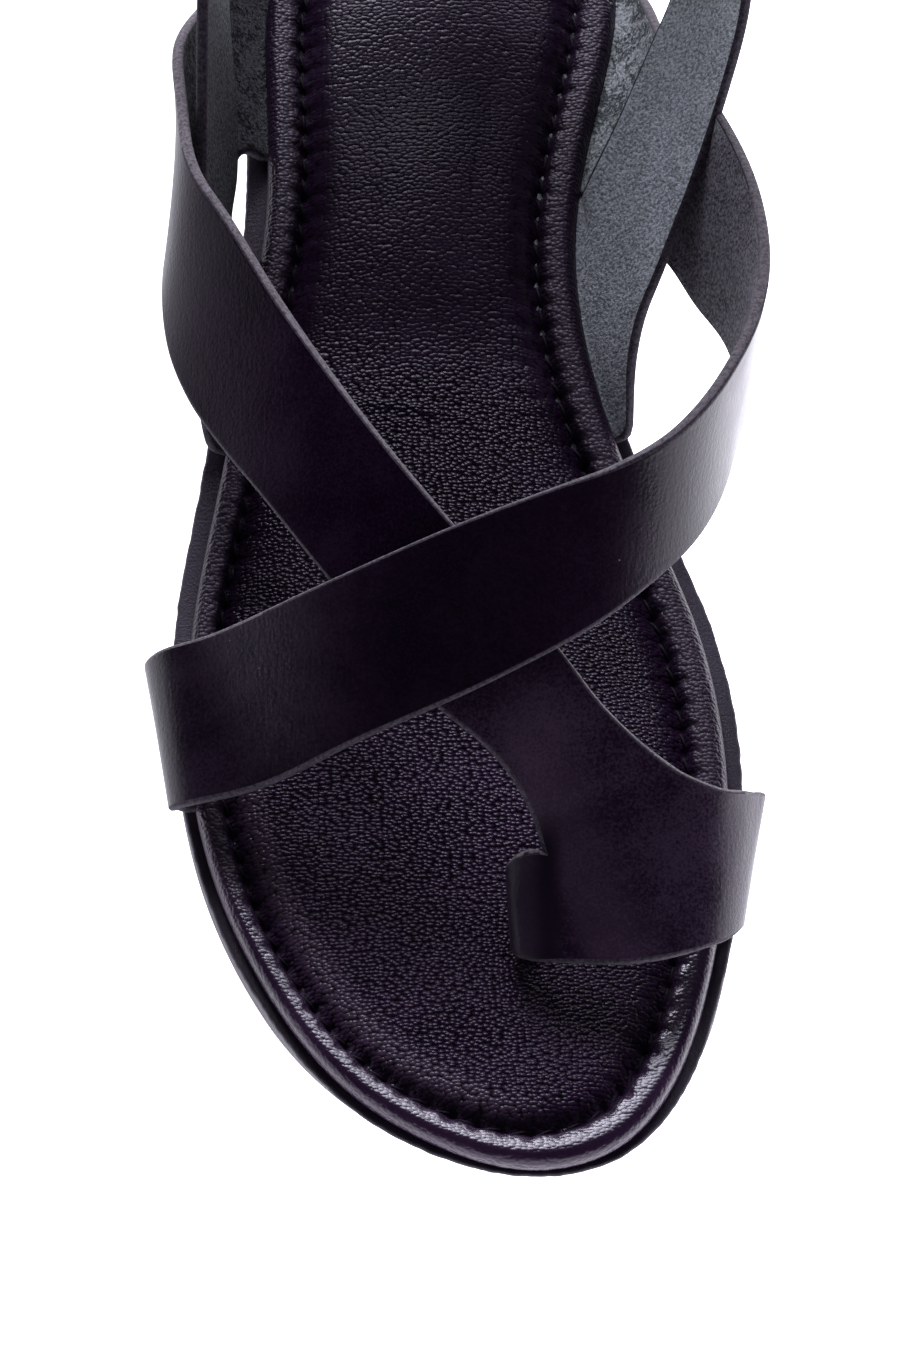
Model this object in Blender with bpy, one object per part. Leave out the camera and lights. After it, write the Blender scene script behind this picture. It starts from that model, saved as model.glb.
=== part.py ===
"""Right-foot leather sandal with crossed straps, a toe loop and a heel strap.

Sizes are in millimetres and are turned to metres when a mesh is made.
The toe points to -Y, the big-toe side is +X and the floor is z = 0.
"""
import bpy
import numpy as np

MM = 0.001

# Overall sizes
SOLE_TOE_Y = -126.0
SOLE_HEEL_Y = 126.0
MIDDLE_X = 0.3
MIDDLE_Y = 2.5
CLEARANCE = 0.3

# Outsole
FOREFOOT_THICKNESS = 5.0
HEEL_LIFT = 8.0
HEEL_LIFT_FULL_Y = 66.0
HEEL_LIFT_NONE_Y = -29.0
TOE_SPRING = 7.0
TOE_SPRING_START_Y = -69.0
ARCH_RISE = 2.5
ARCH_FRONT_Y = -2.0
ARCH_BACK_Y = 58.0
SOLE_TOP_ROUND = 0.7
SOLE_FOOT_ROUND = 1.0
SOLE_TOE_UNDERCUT = 1.8
TOE_UNDERCUT_START_Y = -95.0
TOE_UNDERCUT_FULL_Y = -125.0

# Footbed
RIM_SIDE = 2.2
RIM_TOE = 0.8
RIM_TOE_START_Y = -60.0
RIM_TOE_FULL_Y = -120.0

# Straps
STRAP_THICKNESS = 2.0
STRAP_COLUMNS = 6
STRAP_STEP = 5.0
TAIL_LENGTH = 9.0
CROSS_LIFT = 1.6
POST_DEPTH = 4.0
SLIT_WIDENING = 1.08

# Foot form that the crossing straps lie on
RIDGE_X = 6.0
RIDGE_CURVE = 0.0135

# Sampling of the curves
OUTLINE_POINTS = 112
CURVE_SAMPLES = 40
FLAT_INSETS = (16.0, 7.0)
SHARP_ANGLE = 40.0

# Mark in a strap table for a height that comes from the foot form
ON_FORM = None

# Outline of the outsole seen from above: x, y, from the heel back round the outer side
SOLE_OUTLINE = (
    (1.0, SOLE_HEEL_Y),
    (-21.5, 119.5),
    (-32.5, 101.0),
    (-34.4, 76.0),
    (-34.7, 52.0),
    (-38.4, 26.0),
    (-42.4, 2.0),
    (-46.6, -24.0),
    (-46.2, -50.0),
    (-40.8, -73.6),
    (-32.0, -93.0),
    (-19.2, -110.8),
    (-4.6, -121.4),
    (9.5, SOLE_TOE_Y),
    (24.0, -122.8),
    (35.0, -110.5),
    (41.5, -93.5),
    (45.8, -73.0),
    (47.0, -51.0),
    (42.4, -23.0),
    (32.6, 1.5),
    (25.4, 24.0),
    (23.2, 44.0),
    (26.6, 66.0),
    (32.6, 90.0),
    (32.0, 105.0),
    (21.5, 120.0),
)

# Ridge of the foot form: y, height
RIDGE = (
    (-110.0, 20.0),
    (-95.0, 24.0),
    (-75.0, 31.0),
    (-45.0, 45.0),
    (-20.0, 54.0),
    (10.0, 61.0),
    (40.0, 66.0),
)

# Cross-section of the footbed from its edge inwards: inset, height above the outsole
FOOTBED_SECTION = (
    (0.5, 0.0),
    (0.0, 0.7),
    (0.0, 2.2),
    (0.7, 3.6),
    (2.2, 4.5),
    (4.2, 4.7),
    (6.6, 4.2),
    (7.8, 3.3),
    (9.0, 3.3),
    (10.4, 4.4),
    (14.0, 5.6),
    (20.0, 6.4),
)

# Front strap: front edge x, y, z, back edge x, y, z, from the outer side over to the inner side
FRONT_STRAP = (
    (-46.3, -60.5, 9.0, -50.3, -33.7, 9.0),
    (-42.8, -61.6, 14.0, -47.0, -34.3, 14.5),
    (-35.2, -60.7, ON_FORM, -41.6, -34.0, ON_FORM),
    (-16.2, -59.5, ON_FORM, -21.1, -34.5, ON_FORM),
    (5.8, -53.4, ON_FORM, -1.0, -30.3, ON_FORM),
    (22.6, -43.5, 43.5, 15.8, -24.2, 53.6),
    (32.4, -32.9, 39.2, 25.6, -20.6, 54.2),
    (37.9, -25.3, 35.4, 32.6, -15.8, 54.4),
    (43.4, -14.0, 30.4, 39.0, -9.2, 53.8),
    (47.4, -1.2, 26.6, 44.4, 0.0, 52.0),
    (50.4, 11.0, 23.4, 48.8, 11.0, 49.4),
    (48.4, 22.8, 20.9, 51.0, 24.0, 46.4),
    (43.4, 31.0, 19.2, 50.2, 39.5, 43.2),
    (38.6, 38.9, 17.6, 46.2, 57.5, 38.0),
    (33.0, 48.0, 15.5, 40.3, 76.5, 30.0),
)

# Toe strap: outer edge x, y, z, inner edge x, y, z, from the heel end to the end of the toe loop
TOE_STRAP = (
    (-37.6, 57.5, 15.0, -43.9, 79.0, 31.0),
    (-43.4, 46.0, 18.5, -43.7, 60.0, 37.5),
    (-46.6, 33.0, 21.5, -41.3, 44.5, 42.0),
    (-46.0, 19.5, 24.0, -36.5, 31.5, 45.0),
    (-43.6, 7.8, 27.0, -29.5, 16.5, 46.6),
    (-38.0, -4.7, ON_FORM, -20.7, 0.1, ON_FORM),
    (-31.0, -17.2, ON_FORM, -11.2, -15.7, ON_FORM),
    (-20.7, -33.9, ON_FORM, -1.0, -29.4, ON_FORM),
    (-11.6, -46.4, ON_FORM, 7.6, -39.6, ON_FORM),
    (-3.7, -56.6, ON_FORM, 15.6, -48.1, ON_FORM),
    (4.1, -63.0, 36.2, 22.4, -55.6, 37.4),
    (9.3, -68.4, 31.0, 28.4, -60.3, 33.8),
    (12.7, -75.1, 24.5, 33.6, -63.5, 31.2),
    (14.1, -84.2, 22.2, 35.9, -64.5, 30.0),
    (16.3, -93.3, 20.2, 37.7, -64.9, 29.0),
    (22.9, -94.2, 21.6, 40.2, -65.1, 27.0),
    (31.0, -93.5, 21.8, 42.8, -64.6, 24.4),
    (38.4, -90.9, 19.6, 45.4, -63.6, 20.6),
    (43.0, -87.4, 15.0, 47.8, -62.0, 15.6),
    (45.0, -84.2, 10.0, 49.0, -59.8, 10.0),
)

# Rows of the toe strap between which the toe post is joined to the outer edge
POST_ROWS = (12, 14)

# Toe post that turns down from the loop: back edge x, y, z, front edge x, y, z
TOE_POST = (
    (10.4, -75.4, 24.0, 12.0, -91.6, 19.6),
    (8.2, -76.2, 21.8, 9.0, -89.4, 17.6),
    (9.0, -77.4, 18.6, 9.6, -88.8, 15.6),
    (12.0, -78.6, 15.2, 12.2, -88.4, 14.0),
    (13.4, -79.0, 12.0, 13.4, -88.6, 11.6),
)

# Heel strap: top edge x, y, z, low edge x, y, z, from the inner side round the heel to the outer side
HEEL_STRAP = (
    (31.8, 18.6, 15.0, 25.8, 51.5, 17.0),
    (36.8, 34.4, 25.0, 31.0, 65.2, 26.0),
    (41.8, 45.6, 32.0, 35.3, 74.0, 31.5),
    (46.4, 58.0, 40.0, 39.3, 82.5, 37.0),
    (50.4, 73.0, 50.0, 42.0, 93.0, 43.0),
    (49.5, 93.0, 61.5, 40.5, 104.0, 48.0),
    (39.0, 113.0, 70.5, 33.0, 116.0, 51.5),
    (20.0, 126.0, 75.5, 18.0, 126.0, 53.0),
    (1.0, 130.0, 77.0, 1.0, 129.5, 53.5),
    (-18.0, 126.0, 75.5, -16.5, 126.0, 53.0),
    (-34.0, 113.0, 70.5, -30.0, 116.0, 51.5),
    (-40.4, 93.0, 61.0, -36.2, 104.0, 47.5),
    (-40.6, 73.0, 50.0, -37.4, 91.0, 42.0),
    (-41.2, 58.0, 40.5, -37.2, 79.0, 35.0),
    (-42.2, 45.0, 32.0, -36.7, 68.0, 28.5),
    (-42.0, 31.0, 23.0, -36.5, 57.0, 21.0),
    (-42.4, 15.0, 14.0, -37.4, 48.5, 15.5),
)

# Where each strap leaves the sole: side (-1 outer, 1 inner), y of the two edges
FRONT_STRAP_START = (-1, -60.5, -34.0)
FRONT_STRAP_END = (1, 58.0, 98.0)
TOE_STRAP_START = (-1, 64.0, 99.0)
TOE_STRAP_END = (1, -84.0, -60.0)
HEEL_STRAP_START = (1, 7.0, 45.0)
HEEL_STRAP_END = (-1, 5.0, 43.0)

# Run of a strap under the footbed and out over the rim: inset from the footbed, height above the tail
TAIL_RUN = (
    (TAIL_LENGTH, 0.0),
    (4.0, 0.0),
    (0.6, 0.0),
    (-1.3, 0.35),
    (-2.4, 1.5),
)
RECESS_RUN = (
    (TAIL_LENGTH + CLEARANCE, 0.0),
    (4.0, 0.0),
    (-4.0, 0.0),
)


def smooth(t):
    t = np.clip(t, 0.0, 1.0)
    return t * t * (3.0 - 2.0 * t)


def sole_spring(y):
    """Rise of the whole sole at the toe."""
    reach = TOE_SPRING_START_Y - SOLE_TOE_Y
    return TOE_SPRING * np.clip((TOE_SPRING_START_Y - y) / reach, 0.0, 1.2) ** 2


def sole_under(y):
    """Underside: flat under the heel and forefoot, arched at the waist, sprung at the toe."""
    t = np.clip((y - ARCH_FRONT_Y) / (ARCH_BACK_Y - ARCH_FRONT_Y), 0.0, 1.0)
    return sole_spring(y) + ARCH_RISE * np.sin(np.pi * t) ** 2


def sole_top(y):
    """Top of the outsole, thicker towards the heel."""
    t = (y - HEEL_LIFT_NONE_Y) / (HEEL_LIFT_FULL_Y - HEEL_LIFT_NONE_Y)
    return sole_spring(y) + FOREFOOT_THICKNESS + HEEL_LIFT * smooth(t)


def foot_form(x, y):
    """Height of the foot form over a place on the floor."""
    ridge = np.array(RIDGE)
    return np.interp(y, ridge[:, 0], ridge[:, 1]) - RIDGE_CURVE * (x - RIDGE_X) ** 2


def closed_curve(points, count):
    """Even samples of a smooth closed curve through the points."""
    p = np.array(points)
    n = len(p)
    step = np.linalg.norm(np.roll(p, -1, 0) - p, axis=1)
    before = np.roll(step, 1)
    matrix = np.zeros((n, n))
    rows = np.arange(n)
    matrix[rows, rows] = 2.0 * (before + step)
    matrix[rows, (rows - 1) % n] = step
    matrix[rows, (rows + 1) % n] = before
    slope_after = (np.roll(p, -1, 0) - p) / step[:, None]
    slope_before = np.roll(slope_after, 1, 0)
    tangent = np.linalg.solve(matrix, 3.0 * (step[:, None] * slope_before + before[:, None] * slope_after))
    fine = []
    for i in range(n):
        j = (i + 1) % n
        for t in np.linspace(0.0, 1.0, CURVE_SAMPLES, endpoint=False):
            a = (1.0 + 2.0 * t) * (1.0 - t) ** 2
            b = t * (1.0 - t) ** 2 * step[i]
            c = t * t * (3.0 - 2.0 * t)
            d = t * t * (t - 1.0) * step[i]
            fine.append(a * p[i] + b * tangent[i] + c * p[j] + d * tangent[j])
    fine = np.array(fine + [fine[0]])
    along = np.concatenate([[0.0], np.cumsum(np.linalg.norm(np.diff(fine, axis=0), axis=1))])
    at = np.linspace(0.0, along[-1], count, endpoint=False)
    return np.stack([np.interp(at, along, fine[:, k]) for k in range(2)], axis=1)


def outward(curve):
    """Unit normals that point out of a closed curve."""
    along = np.roll(curve, -1, 0) - np.roll(curve, 1, 0)
    normal = np.stack([-along[:, 1], along[:, 0]], axis=1)
    normal /= np.linalg.norm(normal, axis=1, keepdims=True)
    middle = curve.mean(0)
    facing = np.sign(np.sum(normal * (curve - middle), axis=1).sum())
    return normal * facing


def inset(curve, normals, distance):
    return curve - normals * np.broadcast_to(distance, len(curve))[:, None]


def make_object(name, points, faces, colour=None, roughness=0.5):
    """Mesh object from points in millimetres, with a material of its own where a colour is given."""
    mesh = bpy.data.meshes.new(name)
    mesh.from_pydata([tuple(p * MM) for p in np.array(points)], [], faces)
    mesh.update()
    body = bpy.data.objects.new(name, mesh)
    bpy.context.collection.objects.link(body)
    if colour:
        material = bpy.data.materials.new(name)
        material.use_nodes = True
        shader = material.node_tree.nodes["Principled BSDF"]
        shader.inputs["Base Color"].default_value = (*colour, 1.0)
        shader.inputs["Roughness"].default_value = roughness
        shader.inputs["Metallic"].default_value = 0.0
        mesh.materials.append(material)
        mesh.polygons.foreach_set("use_smooth", [True] * len(mesh.polygons))
        mesh.set_sharp_from_angle(angle=np.radians(SHARP_ANGLE))
    else:
        body.hide_render = True
        body.display_type = "WIRE"
    body.parent = root
    return body


def ring_body(rings):
    """Points and faces of a closed body from rings that run from the middle of the underside,
    round the edge, to the middle of the top. Both middles are closed by a ladder across."""
    n = len(rings[0])
    points = np.concatenate(rings)
    faces = []
    for r in range(len(rings) - 1):
        for i in range(n):
            j = (i + 1) % n
            faces.append((r * n + i, r * n + j, (r + 1) * n + j, (r + 1) * n + i))
    last = (len(rings) - 1) * n
    half = n // 2
    for i in range(half):
        a, b = i, i + 1
        c, d = (n - i - 1) % n, (n - i) % n
        corners = [a, b, c, d]
        ladder = [v for k, v in enumerate(corners) if v not in corners[:k]]
        faces.append(tuple(reversed(ladder)))
        faces.append(tuple(last + v for v in ladder))
    return points, faces


def lift_ring(flat, height):
    return np.column_stack([flat, height])


def edge_place(side, y, distance):
    """Place on the footbed edge of one side at a given y, moved inwards by a distance."""
    picked = np.where(np.sign(footbed_edge[:, 0]) == side)[0]
    order = picked[np.argsort(footbed_edge[picked, 1])]
    x = np.interp(y, footbed_edge[order, 1], footbed_edge[order, 0])
    nx = np.interp(y, footbed_edge[order, 1], footbed_out[order, 0])
    ny = np.interp(y, footbed_edge[order, 1], footbed_out[order, 1])
    return np.array([x - nx * distance, y - ny * distance])


def tail_rows(leave, run, columns):
    """Rows of a strap end that lies between footbed and outsole and comes out over the rim."""
    side, y_first, y_second = leave
    rows = []
    for distance, height in run:
        row = []
        for t in np.linspace(0.0, 1.0, columns + 1):
            x, y = edge_place(side, y_first + t * (y_second - y_first), distance)
            z = sole_top(y) + CLEARANCE + STRAP_THICKNESS / 2.0 + height
            row.append((x, y, z))
        rows.append(row)
    return np.array(rows)


def section_rows(table, columns, lift=0.0):
    """Rows across a strap from its table of two edges; rows with no height lie on the foot form."""
    rows = []
    for x1, y1, z1, x2, y2, z2 in table:
        row = []
        for t in np.linspace(0.0, 1.0, columns + 1):
            x = x1 + t * (x2 - x1)
            y = y1 + t * (y2 - y1)
            z = foot_form(x, y) + lift if z1 is ON_FORM else z1 + t * (z2 - z1)
            row.append((x, y, z))
        rows.append(row)
    return np.array(rows)


def smooth_rows(rows, step):
    """Rows filled in smoothly between the given ones, and the new index of each given row."""
    middle = rows.mean(axis=1)
    span = np.linalg.norm(np.diff(middle, axis=0), axis=1)
    slope = np.diff(rows, axis=0) / span[:, None, None]
    tangent = np.concatenate([slope[:1], np.zeros_like(slope[1:]), slope[-1:]])
    for i in range(1, len(rows) - 1):
        tangent[i] = (span[i] * slope[i - 1] + span[i - 1] * slope[i]) / (span[i - 1] + span[i])
    filled = []
    places = []
    for i in range(len(rows) - 1):
        places.append(len(filled))
        count = max(1, int(np.ceil(span[i] / step)))
        for t in np.linspace(0.0, 1.0, count, endpoint=False):
            a = (1.0 + 2.0 * t) * (1.0 - t) ** 2
            b = t * (1.0 - t) ** 2 * span[i]
            c = t * t * (3.0 - 2.0 * t)
            d = t * t * (t - 1.0) * span[i]
            filled.append(a * rows[i] + b * tangent[i] + c * rows[i + 1] + d * tangent[i + 1])
    places.append(len(filled))
    filled.append(rows[-1])
    return np.array(filled), places


def sheet_faces(rows, columns, first=0):
    width = columns + 1
    faces = []
    for r in range(rows - 1):
        for c in range(columns):
            a = first + r * width + c
            faces.append((a, a + width, a + width + 1, a + 1))
    return faces


def thicken(body, thickness):
    solid = body.modifiers.new("leather thickness", "SOLIDIFY")
    solid.thickness = thickness * MM
    solid.offset = 0.0
    solid.use_even_offset = True
    solid.use_quality_normals = True


def combine(body, other, operation):
    change = body.modifiers.new(other.name, "BOOLEAN")
    change.operation = operation
    change.solver = "EXACT"
    change.object = other


for old in list(bpy.data.objects):
    bpy.data.objects.remove(old)

root = bpy.data.objects.new("sandal", None)
root.location = (-MIDDLE_X * MM, -MIDDLE_Y * MM, 0.0)
bpy.context.collection.objects.link(root)

# Outsole
sole_edge = closed_curve(SOLE_OUTLINE, OUTLINE_POINTS)
sole_out = outward(sole_edge)
undercut_reach = TOE_UNDERCUT_START_Y - TOE_UNDERCUT_FULL_Y
toe_undercut = SOLE_TOE_UNDERCUT * smooth((TOE_UNDERCUT_START_Y - sole_edge[:, 1]) / undercut_reach)
rings = []
for distance in (*FLAT_INSETS, SOLE_FOOT_ROUND + toe_undercut):
    flat = inset(sole_edge, sole_out, distance)
    rings.append(lift_ring(flat, sole_under(flat[:, 1])))
flat = inset(sole_edge, sole_out, toe_undercut)
rings.append(lift_ring(flat, sole_under(flat[:, 1]) + SOLE_FOOT_ROUND))
flat = inset(sole_edge, sole_out, 0.0)
rings.append(lift_ring(flat, sole_top(flat[:, 1]) - SOLE_TOP_ROUND))
for distance in (SOLE_TOP_ROUND, *FLAT_INSETS[::-1]):
    flat = inset(sole_edge, sole_out, distance)
    rings.append(lift_ring(flat, sole_top(flat[:, 1])))
outsole = make_object("outsole", *ring_body(rings), colour=(0.012, 0.011, 0.013), roughness=0.75)

# Footbed
toe_share = smooth((RIM_TOE_START_Y - sole_edge[:, 1]) / (RIM_TOE_START_Y - RIM_TOE_FULL_Y))
rim = RIM_SIDE + (RIM_TOE - RIM_SIDE) * toe_share
footbed_edge = inset(sole_edge, sole_out, rim)
footbed_out = outward(footbed_edge)
rings = []
for distance in FLAT_INSETS:
    flat = inset(footbed_edge, footbed_out, distance)
    rings.append(lift_ring(flat, sole_top(flat[:, 1]) + CLEARANCE))
for distance, height in FOOTBED_SECTION:
    flat = inset(footbed_edge, footbed_out, distance)
    rings.append(lift_ring(flat, sole_top(flat[:, 1]) + CLEARANCE + height))
footbed = make_object("footbed", *ring_body(rings), colour=(0.016, 0.013, 0.019), roughness=0.38)

# Front strap
rows = np.concatenate([
    tail_rows(FRONT_STRAP_START, TAIL_RUN, STRAP_COLUMNS),
    section_rows(FRONT_STRAP, STRAP_COLUMNS, CROSS_LIFT),
    tail_rows(FRONT_STRAP_END, TAIL_RUN[::-1], STRAP_COLUMNS),
])
rows, _ = smooth_rows(rows, STRAP_STEP)
upper = make_object("upper", rows.reshape(-1, 3), sheet_faces(len(rows), STRAP_COLUMNS),
                    colour=(0.018, 0.015, 0.021), roughness=0.5)
thicken(upper, STRAP_THICKNESS)

# Toe strap with its post
tail = tail_rows(TOE_STRAP_START, TAIL_RUN, STRAP_COLUMNS)
rows = np.concatenate([
    tail,
    section_rows(TOE_STRAP, STRAP_COLUMNS),
    tail_rows(TOE_STRAP_END, TAIL_RUN[::-1], STRAP_COLUMNS),
])
rows, places = smooth_rows(rows, STRAP_STEP)
ridge_from, ridge_to = (places[len(tail) + k] for k in POST_ROWS)
ridge = list(range(ridge_from, ridge_to + 1))
post_columns = len(ridge) - 1
post_rows = np.concatenate([rows[ridge, 0][None], section_rows(TOE_POST, post_columns)])
end = post_rows[-1] - (0.0, 0.0, POST_DEPTH)
post_rows, post_places = smooth_rows(np.concatenate([post_rows, end[None]]), STRAP_STEP / 2.0)
width = STRAP_COLUMNS + 1
points = np.concatenate([rows.reshape(-1, 3), post_rows[1:].reshape(-1, 3)])
faces = sheet_faces(len(rows), STRAP_COLUMNS)
first = len(rows) * width
for k in range(post_columns):
    faces.append((ridge[k] * width, first + k, first + k + 1, ridge[k + 1] * width))
faces += sheet_faces(len(post_rows) - 1, post_columns, first)
toe_strap = make_object("toe strap", points, faces)
thicken(toe_strap, STRAP_THICKNESS)

# Heel strap
rows = np.concatenate([
    tail_rows(HEEL_STRAP_START, TAIL_RUN, STRAP_COLUMNS),
    section_rows(HEEL_STRAP, STRAP_COLUMNS),
    tail_rows(HEEL_STRAP_END, TAIL_RUN[::-1], STRAP_COLUMNS),
])
rows, _ = smooth_rows(rows, STRAP_STEP)
heel_strap = make_object("heel strap", rows.reshape(-1, 3), sheet_faces(len(rows), STRAP_COLUMNS))
thicken(heel_strap, STRAP_THICKNESS)

combine(upper, toe_strap, "UNION")
combine(upper, heel_strap, "UNION")

# Recesses under the footbed for the strap ends, and the slit for the toe post
for name, leave in (
    ("front strap outer recess", FRONT_STRAP_START),
    ("front strap inner recess", FRONT_STRAP_END),
    ("toe strap outer recess", TOE_STRAP_START),
    ("toe strap inner recess", TOE_STRAP_END),
    ("heel strap inner recess", HEEL_STRAP_START),
    ("heel strap outer recess", HEEL_STRAP_END),
):
    side, low, high = leave
    wider = (side, low - 2.0 * CLEARANCE, high + 2.0 * CLEARANCE)
    pocket_rows = tail_rows(wider, RECESS_RUN, STRAP_COLUMNS)
    pocket = make_object(name, pocket_rows.reshape(-1, 3), sheet_faces(len(pocket_rows), STRAP_COLUMNS))
    thicken(pocket, STRAP_THICKNESS + 2.0 * CLEARANCE)
    combine(footbed, pocket, "DIFFERENCE")

slit_rows = post_rows[post_places[-3]:].copy()
slit_middle = slit_rows.mean(axis=1, keepdims=True)
slit_rows = slit_middle + (slit_rows - slit_middle) * SLIT_WIDENING
slit_rows[-1, :, 2] -= CLEARANCE
slit = make_object("toe post slit", slit_rows.reshape(-1, 3), sheet_faces(len(slit_rows), post_columns))
thicken(slit, STRAP_THICKNESS + 2.0 * CLEARANCE)
combine(footbed, slit, "DIFFERENCE")
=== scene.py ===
# %% [markdown]
# A black leather sandal
#
# This lesson dresses a plain, measured sandal until it looks like leather, rubber and thread.
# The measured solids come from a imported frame. They are right in size but plain, so each one is
# replaced here by a finer piece that lies in the same place. We work from the ground up: camera and
# light first, then outsole, footbed, stitches and the three straps.

# %% Load the measured sandal
import math

import bmesh
import bpy
import numpy as np
from mathutils import Matrix, Vector


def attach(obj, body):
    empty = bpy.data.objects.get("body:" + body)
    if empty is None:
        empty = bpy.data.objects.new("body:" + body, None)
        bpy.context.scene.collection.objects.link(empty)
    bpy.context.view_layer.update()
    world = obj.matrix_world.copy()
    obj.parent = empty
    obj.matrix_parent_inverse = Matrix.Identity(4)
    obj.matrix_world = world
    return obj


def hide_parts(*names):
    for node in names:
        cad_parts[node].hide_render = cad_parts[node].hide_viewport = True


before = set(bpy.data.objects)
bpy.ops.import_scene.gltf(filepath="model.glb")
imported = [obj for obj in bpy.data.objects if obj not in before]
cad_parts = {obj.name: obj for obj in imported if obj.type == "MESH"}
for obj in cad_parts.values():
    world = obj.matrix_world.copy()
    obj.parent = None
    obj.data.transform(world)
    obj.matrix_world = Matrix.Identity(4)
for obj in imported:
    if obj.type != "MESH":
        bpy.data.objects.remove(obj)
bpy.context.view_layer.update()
bpy.ops.object.select_all(action="DESELECT")

# %% [markdown]
# Camera
#
# The sandal is seen from above the toe, a little from its outer side, with a long lens that keeps the
# lines straight. A camera looks along its own -Z, so we build its three axes by hand: back points from
# the sandal to the camera, right lies level, and up follows from both. A small roll turns the frame.

# %% Camera
MM = 0.001
AZIMUTH, ELEVATION, ROLL = (math.radians(a) for a in (-4.0, 63.0, 3.0))
LOOK_AT = Vector((-1.3, -38.5, 10.0)) * MM
CAMERA_DISTANCE = 0.85
LENS = 136.0

back = Vector((
    math.sin(AZIMUTH) * math.cos(ELEVATION),
    -math.cos(AZIMUTH) * math.cos(ELEVATION),
    math.sin(ELEVATION),
))
level = Vector((0.0, 0.0, 1.0)).cross(back).normalized()
upright = back.cross(level)
right = level * math.cos(ROLL) + upright * math.sin(ROLL)
up = upright * math.cos(ROLL) - level * math.sin(ROLL)

bpy.ops.object.camera_add()
camera = bpy.context.object
camera.name = "camera"
camera.data.lens = LENS
camera.data.sensor_width = 36.0
camera.data.clip_start = 0.05
camera.matrix_world = Matrix.Translation(LOOK_AT + back * CAMERA_DISTANCE) @ Matrix((
    (right.x, up.x, back.x, 0.0),
    (right.y, up.y, back.y, 0.0),
    (right.z, up.z, back.z, 0.0),
    (0.0, 0.0, 0.0, 1.0),
))
bpy.context.scene.camera = camera
print("camera at", [round(v, 3) for v in camera.matrix_world.translation])

# %% [markdown]
# Helpers for finishes
#
# A finish is a shader with a few texture nodes in front of it. Small helpers keep the later cells short:
# put adds a node with its values, join links two sockets, and the rest stand for nodes that come up again
# and again. Patterns read Object coordinates in metres, so a scale of 1000 gives one cell each millimetre.
# The sky has nodes too, so it can take the place of a material in the first helpers.

# %% Helpers for nodes
def new_finish(name, colour, roughness):
    material = bpy.data.materials.new(name)
    material.use_nodes = True
    shader = material.node_tree.nodes["Principled BSDF"]
    shader.inputs["Base Color"].default_value = (*colour, 1.0)
    shader.inputs["Roughness"].default_value = roughness
    return material, shader


def dress(piece, *finishes):
    piece.data.materials.clear()
    for finish in finishes:
        piece.data.materials.append(finish)


def put(material, kind, values=None, **options):
    node = material.node_tree.nodes.new(kind)
    for option, value in options.items():
        setattr(node, option, value)
    for socket, value in (values or {}).items():
        node.inputs[socket].default_value = value
    return node


def join(material, out_socket, in_socket):
    material.node_tree.links.new(out_socket, in_socket)


def remap(material, value, low, high, to_low, to_high, kind="SMOOTHSTEP"):
    """Turns one range of values into another, by default softly at both ends."""
    node = put(material, "ShaderNodeMapRange", {
        "From Min": low, "From Max": high, "To Min": to_low, "To Max": to_high}, interpolation_type=kind)
    join(material, value, node.inputs["Value"])
    return node.outputs["Result"]


def calculate(material, operation, first, second):
    """A Math node; each side is a socket or a plain number."""
    node = put(material, "ShaderNodeMath", operation=operation)
    for place, side in enumerate((first, second)):
        if isinstance(side, (int, float)):
            node.inputs[place].default_value = side
        else:
            join(material, side, node.inputs[place])
    return node.outputs[0]


def times(material, *values):
    product = values[0]
    for value in values[1:]:
        product = calculate(material, "MULTIPLY", product, value)
    return product


def towards(material, vector, way):
    """How far a place or a direction lies along a way."""
    node = put(material, "ShaderNodeVectorMath", {1: way}, operation="DOT_PRODUCT")
    join(material, vector, node.inputs[0])
    return node.outputs["Value"]


def parts(material, vector):
    """The X, Y and Z of a vector as three sockets."""
    node = put(material, "ShaderNodeSeparateXYZ")
    join(material, vector, node.inputs[0])
    return node.outputs


print("helpers for nodes ready")


# %% Helpers for patterns and colours
DUST = (0.30, 0.28, 0.31)


def place_on(material, scale=(1.0, 1.0, 1.0)):
    """Object coordinates, stretched by a scale."""
    coords = put(material, "ShaderNodeTexCoord")
    mapping = put(material, "ShaderNodeMapping", {"Scale": scale})
    join(material, coords.outputs["Object"], mapping.inputs["Vector"])
    return mapping.outputs["Vector"]


def noise(material, vector, size, detail=2.0, roughness=0.5, distortion=0.0):
    """Cloudy noise whose blots are about the given size in millimetres."""
    node = put(material, "ShaderNodeTexNoise", {
        "Scale": 1000.0 / size, "Detail": detail, "Roughness": roughness, "Distortion": distortion})
    join(material, vector, node.inputs["Vector"])
    return node.outputs["Fac"]


def band(material, value, middle, full, none):
    """Soft band: 1 within the full distance of a middle value and 0 beyond the other, in millimetres."""
    away = calculate(material, "ABSOLUTE", calculate(material, "SUBTRACT", value, middle * MM), 0.0)
    return remap(material, away, full * MM, none * MM, 1.0, 0.0)


def share_along(material, where, way, low, high):
    """Goes from 0 to 1 along a direction, between two places in millimetres."""
    return remap(material, towards(material, where, way), low * MM, high * MM, 0.0, 1.0)


def blend(material, factor, first, second):
    """One colour passing into another; each is a socket or three plain numbers."""
    node = put(material, "ShaderNodeMix", data_type="RGBA")
    colours = [s for s in node.inputs if s.type == "RGBA"]
    for socket, colour in zip(colours, (first, second)):
        if isinstance(colour, tuple):
            socket.default_value = (*colour, 1.0)
        else:
            join(material, colour, socket)
    join(material, factor, node.inputs[0])
    return [s for s in node.outputs if s.type == "RGBA"][0]


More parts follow.
